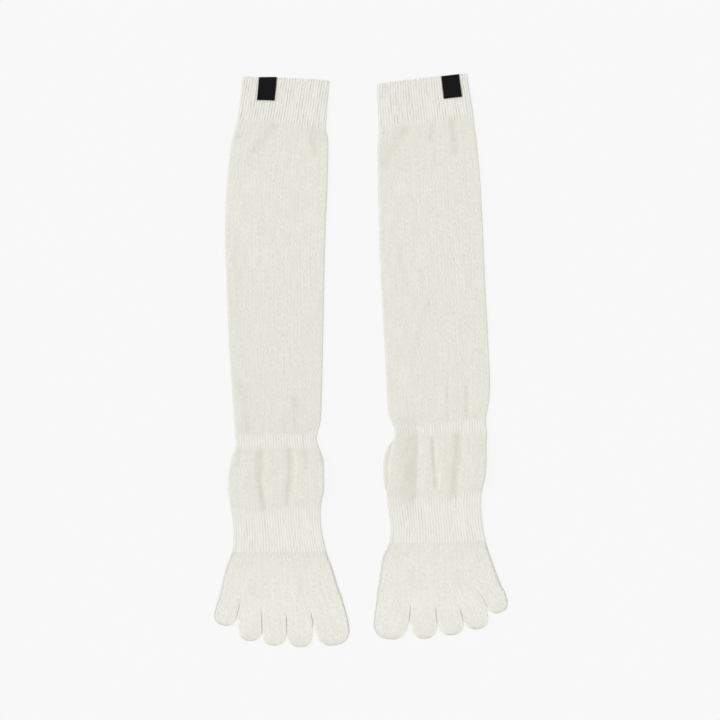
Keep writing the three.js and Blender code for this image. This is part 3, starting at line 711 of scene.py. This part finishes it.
def furrows(sock, x, y):
    """How far the cloth sinks round the start of each slit."""
    sunk = np.zeros(np.shape(x))
    for cut in sock["slits"]:
        start, run = start_and_run(cut)
        ahead = (x - start[0]) * run[0] + (y - start[1]) * run[1]
        aside = (x - start[0]) * run[1] - (y - start[1]) * run[0]
        fade = np.where(ahead < 0, smooth(1 + ahead / FURROW_UP), 1 - smooth(ahead / FURROW_DOWN))
        sunk = sunk + FURROW_DEEP * fade * np.exp(-((aside / FURROW_WIDE) ** 2))
    return sunk


def bends(count):
    """Shares for the two bends of a side, from the underside up: how far in each is, and how high."""
    turn = np.linspace(0, math.pi / 2, count + 1)
    lower = [(1 - math.sin(t), 0.0, 1 - math.cos(t), 0.0) for t in turn[:-1]]
    upper = [(0.0, 1 - math.cos(t), 1.0, math.sin(t)) for t in turn]
    return np.array(lower + upper).T


def ring_of(left, top, right, under):
    """One ring from the parts of an outline. The sides are given from the underside up."""
    return np.concatenate([left[:-1], top, right[-2::-1], under])


def toe_form(toe, s, length):
    """Half the width of a toe at the runs s from its root, and its height."""
    full = toe["wide"] / 2
    rounds = TOE_ROUND * toe["wide"]
    circle = np.sqrt(1 - np.clip(1 - (length - s) / rounds, 0, 1) ** 2)
    runs = [0, TOE_LEAVES * length, TOE_FULL * (length - rounds)]
    half = np.interp(s, runs, [full * toe["root"], full * (1 - TOE_LEAVES * (1 - toe["root"])), full])
    rise = np.interp(s, runs, [ROOT_RISEN, LEAVES_RISEN, 1])
    return half * circle**TOE_BLUNT, toe["high"] * rise * mix(TIP_RISEN, 1, circle)


def parting(axis, cut, s):
    """How far a toe has left its neighbour at the runs s from its root, from 0 to 1."""
    root, along = axis[:2]
    end = (np.array([cut["to_x"], cut["to_y"]]) - root) @ along
    return smooth((s - end + SLIT_PARTS) / (2 * SLIT_PARTS))


def side_rounding(axis, cut, s, start):
    """Share of its full rounding that the side of a toe has, least where it is pressed to the next."""
    settled = smooth((s - start) / SIDE_ROUNDS)
    if cut is None:
        return mix(1, FREE_ROUND, settled)
    return mix(PRESSED_ROUND * settled, FREE_ROUND, parting(axis, cut, s))


def toe_side(toe, axis, s, sign, cut, start, offset, inset):
    """How far from a toe's axis its side lies: along the slit first, then along its own outline."""
    root, along, across, length = axis
    own = sign * (toe_form(toe, s + inset, length)[0] - inset)
    if cut is None:
        settle = 1 - smooth((s - start) / SIDE_ROUNDS)
        return own + (offset - own) * settle
    first, run = start_and_run(cut)
    off = root + along * s[:, None] - first
    slit = -(off[:, 0] * run[1] - off[:, 1] * run[0]) / (across[0] * run[1] - across[1] * run[0])
    gap = (HALF_SLIT + inset) * smooth((s - start) / (SLIT_OPENS + 0.5 * inset))
    pressed = slit - sign * gap
    follows = mix(pressed, own, parting(axis, cut, s))
    return np.minimum(follows, pressed) if sign > 0 else np.maximum(follows, pressed)


def toe_columns(sock, step):
    """How many columns of quads each toe has over its top."""
    plan = FootPlan(sock, 0)
    return [round((b - a) * plan.reach / step) for a, b in zip(plan.shares, plan.shares[1:])]


def ribs_run_out(sock, across, y, lifted):
    """Relief and shade of the arch band's ribs where they run out over the foot."""
    seams = sock["seams"]
    middle = section_at(sock, (seams["arch_band"] + seams["foot"]) / 2)
    round_it = across * middle["width"] + (math.pi / 2 + LOWER_BEND - 1) * middle["high"]
    relief, shade = rib_relief(ZONES[-1]["relief"], round_it, seams["arch_band"] - y,
                               sock["ribs_past"] - seams["foot"] + y, 0)
    return relief * lifted, RUN_OUT_SHADE * shade * lifted


def foot_shell(cloth, sock, inset, columns, row, inward):
    """One surface of a foot with its toes, and the ring at its open end."""
    plan = FootPlan(sock, 2 * inset)
    end_y = plan.corners[:, 1].mean()
    along_length = plan.seam - end_y
    low_in, up_in, low_z, up_z = bends(SIDE_POINTS)
    sides = len(low_in) - 1
    rows = np.concatenate([[0], np.linspace(RIM / along_length, 1, round(along_length / row) + 1)])
    marks = np.concatenate([[0], np.cumsum(columns)])
    follows = INSIDE_SHARE if inset else 1

    rings = []
    knits = []
    for share in rows:
        y = mix(plan.seam, end_y, share)
        width = float(plan.width(y))
        high = float(plan.edge["high"](y)) - 2 * inset
        low = LOWER_BEND * high
        up = high - low
        side = (inset + low * low_in + up * up_in) / width
        side_z = low * low_z + up * up_z
        stops = plan.shares.copy()
        stops[[0, -1]] = side[-1], 1 - side[-1]
        top = np.interp(np.arange(marks[-1] + 1), marks, stops)
        stops[[0, -1]] = side[0], 1 - side[0]
        under = np.interp(np.arange(marks[-1] + 1), marks, stops)
        across = ring_of(side, top, 1 - side, under[-2:0:-1])
        zeros = np.zeros(len(top))
        z = ring_of(side_z, zeros + high, side_z, zeros[2:])
        lifted = z / high
        x, plan_y = plan.point(share, across)
        calm = smooth(np.minimum(across, 1 - across) * width / EDGE_CALM)
        z = z + inset + lifted * CROWN * hump(across)
        z = z + lifted * (waves(x, plan_y) * calm - furrows(sock, x, plan_y) * follows)
        shade = 0 * z
        if not inset:
            relief, shade = ribs_run_out(sock, across, y, lifted)
            z = z + relief
        rings.append(np.stack([x, plan_y, z], -1))
        steps = np.hypot(np.diff(low * low_in + up * up_in), np.diff(side_z))
        down = np.concatenate([[0], np.cumsum(steps)])
        arc = ring_of(down - down[-1], zeros, down[-1] - down, zeros[2:])
        knits.append(np.stack([across * plan.reach + arc, plan.seam - plan_y, shade], -1))
    rings = np.array(rings)
    knits = np.array(knits)
    numbers = cloth.add(rings, *np.moveaxis(knits, -1, 0))
    cloth.band(numbers, inward)

    last = numbers[-1]
    points = rings[-1]
    knit = knits[-1]
    count = len(last)
    top_at = sides + marks
    round_to = 2 * (sides + marks[-1])
    under_at = (round_to - marks) % count
    walls = [last[:sides + 1]]
    for k in range(1, len(marks) - 1):
        foot_point = points[under_at[k]]
        head = points[top_at[k]]
        shares = np.arange(1, sides)[:, None] / sides
        # The walls between the toes take the full painted shade
        inner = cloth.add(mix(foot_point, head, shares), knit[top_at[k], 0], knit[top_at[k], 1], 1)
        walls.append(np.concatenate([[last[under_at[k]]], inner, [last[top_at[k]]]]))
    walls.append(last[top_at[-1]:][sides::-1])

    cuts = [None, *sock["slits"], None]
    for i, toe in enumerate(sock["toes"]):
        top = last[top_at[i]:top_at[i + 1] + 1]
        under = last[(round_to - np.arange(marks[i + 1], marks[i] - 1, -1)) % count]
        first = ring_of(walls[i], top, walls[i + 1], under[1:-1])
        base = np.concatenate(cloth.points)[first]
        base_knit = np.concatenate(cloth.knit)[first]
        toe_rings, toe_knit = toe_stations(sock, toe, cuts[i:i + 2], plan.corners[i:i + 2], columns[i],
                                           base, base_knit, inset, row)
        rings_in = cloth.add(toe_rings, *np.moveaxis(toe_knit, -1, 0))
        chain = np.vstack([first[None, :], rings_in])
        cloth.band(chain, inward)
        cloth.lid(chain[-1], not inward)
    return numbers[0]


def toe_stations(sock, toe, cuts, starts, columns, base, base_knit, inset, row):
    """The rings of a toe after its first, and their places on the flat cloth. A side that is pressed to
    the next toe takes painted shade, most on its lower part."""
    root = np.array([toe["x"], toe["y"]])
    along = np.array([toe["tip_x"], toe["tip_y"]]) - root
    length = float(np.hypot(*along))
    along = along / length
    across = np.array([-along[1], along[0]])
    axis = (root, along, across, length)
    rounds = TOE_ROUND * toe["wide"]
    begin = length - rounds
    first_run = np.array([(start - root) @ along for start in starts])
    first_off = [(start - root) @ across for start in starts]
    straight = np.arange(1, max(round((begin - first_run.mean()) / row), 2) + 1)
    shares = straight / straight[-1]
    turns = np.radians(np.linspace(0, TIP_LAST, TIP_STATIONS)[1:])
    tip_runs = length - inset - (rounds - inset) * (1 - np.sin(turns))
    low_in, up_in, low_z, up_z = bends(SIDE_POINTS)

    edges = []
    runs = []
    rounding = []
    pressed = []
    for side, (sign, cut) in enumerate(zip((-1, 1), cuts)):
        s = np.concatenate([mix(first_run[side], begin, shares), tip_runs])
        off = toe_side(toe, axis, s, sign, cut, first_run[side], first_off[side], inset)
        edges.append(root + along * s[:, None] + across * off[:, None])
        runs.append(s)
        rounding.append(side_rounding(axis, cut, s, first_run[side]))
        pressed.append(0 * s if cut is None else 1 - parting(axis, cut, s))
    left, right = edges
    middle_run = (runs[0] + runs[1]) / 2
    gone = middle_run - first_run.mean()
    apart = np.linalg.norm(right - left, axis=1)
    toward = (right - left) / apart[:, None]
    tip = length - inset - middle_run

    sides = len(low_in) - 1
    base_top = base[sides:sides + columns + 1]
    base_high = base_top[:, 2].max()
    base_sunk = furrows(sock, base_top[:, 0], base_top[:, 1])
    v = np.linspace(0, 1, columns + 1)
    pressed_side_shade = 1 - up_z
    settled = smooth(gone / TOE_SETTLES)
    rings = []
    knits = []
    for i in range(len(middle_run)):
        own_high = toe_form(toe, middle_run[i], length)[1] - 2 * inset
        high = max(mix(base_high - inset, own_high, settled[i]), LEAST_HOLLOW)
        low = LOWER_BEND * high
        up = high - low
        near_top = min(tip[i] / (TIP_ROUND * up), 1)
        near_low = min(tip[i] / (TIP_ROUND * low), 1)
        height = low + up * math.sqrt(max(1 - (1 - near_top) ** 2, 0))
        floor = low * (1 - math.sqrt(max(1 - (1 - near_low) ** 2, 0)))
        room = SIDE_ROOM * apart[i]
        full = min(low, room) * low_in + min(up, room) * up_in
        in_left = rounding[0][i] * full
        in_right = rounding[1][i] * full
        a = left[i] + toward[i] * in_left[-1]
        b = right[i] - toward[i] * in_right[-1]
        top_plan = a + (b - a) * v[:, None]
        crown = TOE_CROWN * settled[i] * hump(v) * (height / high)
        blended = mix(base_top[:, 2] - base_high, 0, settled[i])
        sunk = furrows(sock, top_plan[:, 0], top_plan[:, 1]) - mix(base_sunk, 0, settled[i])
        top_z = inset + height + crown + blended - sunk * (INSIDE_SHARE if inset else 1)
        top_z = np.maximum(top_z, inset + mix(floor, height, LEAST_THICK))
        left_plan = left[i] + toward[i] * in_left[:, None]
        right_plan = right[i] - toward[i] * in_right[:, None]
        left_z = inset + mix(floor, low, low_z) + (top_z[0] - inset - low) * up_z
        right_z = inset + mix(floor, low, low_z) + (top_z[-1] - inset - low) * up_z
        under_plan = mix(right_plan[0], left_plan[0], v[:, None])
        plan = ring_of(left_plan, top_plan, right_plan, under_plan[1:-1])
        z = ring_of(left_z, top_z, right_z, np.full(columns - 1, inset + floor))
        rings.append(np.column_stack([plan, z]))
        # Painted shade on the sides pressed to the next toe, fading towards the top
        deep = ring_of(pressed_side_shade * pressed[0][i], 0 * v, pressed_side_shade * pressed[1][i], 0 * v[1:-1])
        knits.append(np.column_stack([base_knit[:, 0], base_knit[:, 1] + gone[i], deep]))
    return np.array(rings), np.array(knits)


def foot(sock, material):
    """The foot with its toes, as one wall that is open at the seam."""
    cloth = Cloth()
    columns = toe_columns(sock, FOOT_STEP)
    outer = foot_shell(cloth, sock, 0, columns, FOOT_ROW, False)
    inner = foot_shell(cloth, sock, LEG_WALL, columns, 4 * FOOT_ROW, True)
    cloth.band(np.vstack([inner, outer]))
    return cloth.object(f"{sock['name']}_foot_knit", material)


def label(sock, material):
    """A bare woven label over the crests of the cuff's ribs, with rounded edges."""
    facts = sock["label"]
    top = sock["seams"]["cuff"] + facts["above"]
    y = levels(top, top - facts["long"], LABEL_STEP)
    section = rows_at(sock, np.minimum(y, sock["seams"]["cuff"]))
    section["y"] = y[:, None]
    width = float(section["width"].mean()) * (facts["to"] - facts["from"])
    u = np.linspace(facts["from"], facts["to"], round(width / LABEL_STEP) + 1)
    low = section["high"] + RIB_CREST + LABEL_CLEAR + CROWN * hump(u)
    across = u * section["width"]
    from_side = np.minimum(u - u[0], u[-1] - u) * section["width"]
    from_end = np.minimum(top - y, y - y[-1])[:, None]
    edge = np.minimum(from_side, from_end)
    off = 1 - np.clip(edge / LABEL_ROUND, 0, 1)
    rounding = LABEL_ROUND * (1 - np.sqrt(1 - off**2))
    plan_x, plan_y = place(section, across)
    plan_y = plan_y + facts["turn"] * (u - facts["from"]) * section["width"]
    upper = np.stack([plan_x, plan_y, low + LABEL_THICK - rounding], -1)
    lower = np.stack([plan_x, plan_y, low + 0 * plan_x], -1)
    points = np.concatenate([upper, lower[:, ::-1]], 1)
    across = np.hstack([across, across[:, ::-1]])
    return pad(f"{sock['name']}_label_woven", points, across, (top - y)[:, None], material)


class Shading:
    """A node material, with short calls for its nodes."""

    def __init__(self, name):
        self.material = bpy.data.materials.new(name)
        self.material.use_nodes = True
        self.tree = self.material.node_tree
        self.shader = self.tree.nodes["Principled BSDF"]

    def node(self, kind, settings=None, **inputs):
        made = self.tree.nodes.new(kind)
        for name, value in (settings or {}).items():
            setattr(made, name, value)
        return self.fill(made, inputs)

    def fill(self, node, inputs):
        for name, value in inputs.items():
            self.feed(node.inputs[name.replace("_", " ")], value)
        return node

    def surface(self, **inputs):
        """Fills the sockets of the shader and returns the material."""
        self.fill(self.shader, inputs)
        return self.material

    def feed(self, socket, value):
        if isinstance(value, bpy.types.NodeSocket):
            self.tree.links.new(value, socket)
        else:
            socket.default_value = value

    def math(self, operation, a, b=0.0, c=0.0):
        made = self.node("ShaderNodeMath", {"operation": operation})
        for socket, value in zip(made.inputs, (a, b, c)):
            self.feed(socket, value)
        return made.outputs[0]

    def clamp(self, value):
        return self.math("MINIMUM", self.math("MAXIMUM", value, 0.0), 1.0)

    def cloth_place(self):
        """The place on the flat cloth in metres, across and along, and the share of painted shade."""
        attribute = self.node("ShaderNodeAttribute", {"attribute_name": "knit"})
        split = self.node("ShaderNodeSeparateXYZ", Vector=attribute.outputs["Vector"])
        return split.outputs["X"], split.outputs["Y"], split.outputs["Z"]

    def noise(self, across, along, size_across, size_along, detail=2.0):
        """Noise drawn out along the cloth, between 0 and 1."""
        place = self.node("ShaderNodeCombineXYZ", X=self.math("DIVIDE", across, size_across),
                          Y=self.math("DIVIDE", along, size_along))
        made = self.node("ShaderNodeTexNoise", Vector=place.outputs[0], Scale=1.0, Detail=detail)
        return made.outputs["Fac"]

    def bump(self, height, distance, normal=None):
        made = self.node("ShaderNodeBump", Height=height, Distance=distance, Strength=1.0)
        if normal is not None:
            self.feed(made.inputs["Normal"], normal)
        return made.outputs["Normal"]

    def blend(self, share, a, b, how="MIX"):
        made = self.node("ShaderNodeMix", {"data_type": "RGBA", "blend_type": how})
        for index, value in ((0, share), (6, a), (7, b)):
            self.feed(made.inputs[index], value)
        return made.outputs[2]


# Knit: its stitches, dashes, streaks and fuzz, and how much each darkens the yarn
STITCH_LONG = 0.0008
STITCH_DEEP = 0.00016
STITCH_SLANT = 1.2
STITCH_ROUND = 0.6
# the stitches' low parts take more of YARN_SHADE: painted shade between them
STITCH_SHADE = -0.14
DASH_WIDE = 0.0006
DASH_LONG = 0.0028
DASH_DEEP = 0.0003
STREAK_WIDE = 0.0022
STREAK_LONG = 0.02
STREAK_SHADE = 0.7
FUZZ = 0.0003
FINE_DETAIL = 3.0  # octaves of the finest noise
FUZZ_DEEP = 0.00006
LOOK = "slot stitch_wide dash_shade base_shade yarn"
LOOKS = table(LOOK, [
    ("plain_knit", 0.00105, 1.4, 0.36, (0.96, 0.96, 0.878, 1)),
    ("rib_knit", RIB_PITCH / 2, 1.1, 0.03, (0.965, 0.973, 0.912, 1)),
])
# Darker yarn: mixed in at random by dashes and streaks, and as painted shade between the stitches
YARN_SHADE = (0.76, 0.755, 0.67, 1)
# Multiplied in as painted shade in folds, rib valleys and slits; it also tones the ends of rib bands a
# little
FOLD_SHADE = (0.75, 0.7, 0.635, 1)
KNIT_ROUGHNESS = 0.92
KNIT_SPECULAR = 0.25
KNIT_SHEEN = 0.12
SHEEN_ROUGHNESS = 0.5

# Label: slanted floats over a fine weft
FLOAT_WIDE = 0.00036
FLOAT_LONG = 0.0005
WEFT_LONG = 0.00025
WEFT_SHARE = 0.5
THREAD_DEEP = 0.00004
THREAD_SHADE = 0.25
GRAIN = 0.0004
LABEL_DARK = (0.004, 0.0035, 0.0038, 1)
LABEL_LIGHT = (0.012, 0.0105, 0.011, 1)
LABEL_ROUGHNESS = 0.8
LABEL_SPECULAR = 0.1

# Table
TABLE_DARK = (0.0945, 0.0945, 0.0945, 1)
TABLE_LIGHT = (0.0955, 0.0955, 0.0955, 1)
TABLE_GRAIN = 3.0  # patches to a metre
TABLE_GLOW = 0.845


def stitches(shading, across, along, wide, long):
    """Height of rows of V-shaped stitches."""
    calc = shading.math
    u = calc("DIVIDE", across, wide)
    off = calc("ABSOLUTE", calc("SUBTRACT", calc("FRACT", u), 0.5))
    v = calc("MULTIPLY_ADD", off, STITCH_SLANT, calc("DIVIDE", along, long))
    leg = calc("SINE", calc("MULTIPLY", calc("FRACT", v), math.pi))
    column = calc("SINE", calc("MULTIPLY", off, 2 * math.pi))
    return calc("MULTIPLY", calc("POWER", leg, STITCH_ROUND), column)


def knit_material(look):
    """Cream knit: stitches and fuzz in the bump, streaks of random tone in the colour, and painted shade
    between the stitches and in the valleys, folds and slits.
    """
    shading = Shading(look["slot"])
    across, along, sunk = shading.cloth_place()
    stitch = stitches(shading, across, along, look["stitch_wide"], STITCH_LONG)
    dash = shading.noise(across, along, DASH_WIDE, DASH_LONG)
    streak = shading.noise(across, along, STREAK_WIDE, STREAK_LONG)
    fuzz = shading.noise(across, along, FUZZ, FUZZ, FINE_DETAIL)
    # Low stitches get more YARN_SHADE as painted shade; dashes and streaks change the tone at random
    depth = shading.math("MULTIPLY_ADD", stitch, STITCH_SHADE, look["base_shade"])
    for drawn_out, shade in ((dash, look["dash_shade"]), (streak, STREAK_SHADE)):
        depth = shading.math("MULTIPLY_ADD", shading.math("SUBTRACT", drawn_out, 0.5), shade, depth)
    colour = shading.blend(shading.clamp(depth), look["yarn"], YARN_SHADE)
    # Painted shade of folds, rib valleys and pressed toe sides, multiplied in by its share
    colour = shading.blend(sunk, colour, FOLD_SHADE, "MULTIPLY")
    normal = shading.bump(dash, DASH_DEEP)
    normal = shading.bump(stitch, STITCH_DEEP, normal)
    normal = shading.bump(fuzz, FUZZ_DEEP, normal)
    return shading.surface(Base_Color=colour, Normal=normal, Roughness=KNIT_ROUGHNESS,
                           Specular_IOR_Level=KNIT_SPECULAR, Sheen_Weight=KNIT_SHEEN,
                           Sheen_Roughness=SHEEN_ROUGHNESS)


def woven_material(name):
    """Black damask of fine slanted floats, lighter on their crests and darker between them as painted
    shade, with a random grain.
    """
    shading = Shading(name)
    across, along, _ = shading.cloth_place()
    calc = shading.math
    slant = calc("ADD", calc("DIVIDE", across, FLOAT_WIDE), calc("DIVIDE", along, FLOAT_LONG))
    thread = calc("SINE", calc("MULTIPLY", slant, 2 * math.pi))
    weft = calc("SINE", calc("MULTIPLY", calc("DIVIDE", along, WEFT_LONG), 2 * math.pi))
    grain = shading.noise(across, along, GRAIN, GRAIN, FINE_DETAIL)
    height = calc("ADD", thread, calc("MULTIPLY", weft, WEFT_SHARE))
    # The threads' crests are painted lighter and the gaps darker, as painted shade, with random grain
    share = shading.clamp(calc("MULTIPLY_ADD", height, THREAD_SHADE, grain))
    return shading.surface(Base_Color=shading.blend(share, LABEL_DARK, LABEL_LIGHT),
                           Normal=shading.bump(height, THREAD_DEEP), Roughness=LABEL_ROUGHNESS,
                           Specular_IOR_Level=LABEL_SPECULAR)


def floor_material():
    """A table lit from below, which takes only the faintest shadow."""
    shading = Shading("lit_table")
    place = shading.node("ShaderNodeNewGeometry").outputs["Position"]
    grain = shading.node("ShaderNodeTexNoise", Vector=place, Scale=TABLE_GRAIN, Detail=2.0).outputs["Fac"]
    return shading.surface(Base_Color=shading.blend(grain, TABLE_DARK, TABLE_LIGHT), Roughness=1.0,
                           Specular_IOR_Level=0.0, Emission_Color=(1, 1, 1, 1),
                           Emission_Strength=TABLE_GLOW)


def girth(width, high, wall):
    """The way round a flattened tube at the middle of its wall."""
    middle = high - wall
    return (math.pi - 2) * middle + 2 * (width - wall)


GIRTHS = 50  # places along a tube where its girth is taken


def dress(sock, materials):
    """Makes the pieces of one sock, each in the place of its node."""
    seams = list(sock["seams"].values())
    name = sock["name"]

    def settle(piece, node, slot, flat, held, rests_on, area=None):
        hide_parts(f"{name}_{node}")
        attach(piece, "root")
        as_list(rests_on)

    for zone, start, end in zip(ZONES, seams, seams[1:]):
        slot = "rib_knit" if zone["relief"] else "plain_knit"
        piece = tube(sock, zone, start, end, materials[slot])
        section = section_at(sock, np.linspace(start, end, GIRTHS))
        around = float(np.mean(girth(section["width"], section["high"], zone["wall"])))
        lies_on = [f"{name}_heel_pouch"] if zone["name"] == "ankle" else []
        settle(piece, zone["name"], slot, (around, start - end), "laid", lies_on)

    rows = sock["pouch"]
    wide = max(row["right"] - row["left"] for row in rows)
    settle(pouch(sock, materials["plain_knit"]), "heel_pouch", "plain_knit",
           (wide, rows[0]["y"] - rows[-1]["y"]), "folded", [])

    edges = [row for row in sock["edges"] if sock["ends"][0] <= row["y"] <= seams[-1]]
    fore = np.mean([row["right"] - row["left"] for row in edges])
    root = np.mean([*sock["ends"], *(cut["y"] for cut in sock["slits"])])
    toes = sum(toe["wide"] * (root - toe["tip_y"]) for toe in sock["toes"])
    reach = seams[-1] - min(toe["tip_y"] for toe in sock["toes"])
    widest = max(row["right"] - row["left"] for row in sock["edges"])
    settle(foot(sock, materials["plain_knit"]), "foot", "plain_knit", (2 * widest, reach), "laid", [],
           area=2 * (fore * (seams[-1] - root) + toes))

    facts = sock["label"]
    section = section_at(sock, sock["seams"]["cuff"] - facts["long"] / 2)
    wide = float(section["width"]) * (facts["to"] - facts["from"])
    settle(label(sock, materials["woven_label"]), "label", "woven_label",
           (wide, facts["long"]), "laid", [f"{name}_cuff_knit"])


# Camera straight above, at the distance that gives the picture's scale
PICTURE_WIDE = 0.5976
LENS = 100
SENSOR = 36
CLOTH_PLANE = 0.002
AIM_X = -0.00091
AIM_Y = -0.00009


def camera():
    data = bpy.data.cameras.new("camera")
    data.lens = LENS
    data.sensor_width = SENSOR
    eye = put("camera", data)
    eye.location = (AIM_X, AIM_Y, CLOTH_PLANE + PICTURE_WIDE * LENS / SENSOR)
    bpy.context.scene.camera = eye


# Light: an even white surround, a broad soft lamp from the upper left and a low one from the lower right
SURROUND = 0.675
LAMP = "name high around spread strength"  # degrees above the table, from +X and across
LAMPS = table(LAMP, [
    ("key", 50, 155, 50, 1.15),
    ("fill", 14, -45, 60, 0.54),
])
FLOOR_HALF = 12.0


def studio():
    world = bpy.data.worlds.new("surround")
    world.use_nodes = True
    world.node_tree.nodes["Background"].inputs["Color"].default_value = (1, 1, 1, 1)
    world.node_tree.nodes["Background"].inputs["Strength"].default_value = SURROUND
    bpy.context.scene.world = world
    for facts in LAMPS:
        data = bpy.data.lights.new(facts["name"], "SUN")
        data.angle = math.radians(facts["spread"])
        data.energy = facts["strength"]
        turns = (math.radians(90 - facts["high"]), 0, math.radians(facts["around"] + 90))
        put(facts["name"], data).rotation_euler = turns

    mesh = bpy.data.meshes.new("floor")
    corners = [(x * FLOOR_HALF, y * FLOOR_HALF, 0) for x, y in ((-1, -1), (1, -1), (1, 1), (-1, 1))]
    mesh.from_pydata(corners, [], [(0, 1, 2, 3)])
    mesh.materials.append(floor_material())
    put("floor", mesh)
    bpy.context.scene.view_settings.view_transform = "Standard"


camera()
studio()
slots = {look["slot"]: knit_material(look) for look in LOOKS}
slots["woven_label"] = woven_material("woven_label")
for one in (LEFT, RIGHT):
    dress(one, slots)
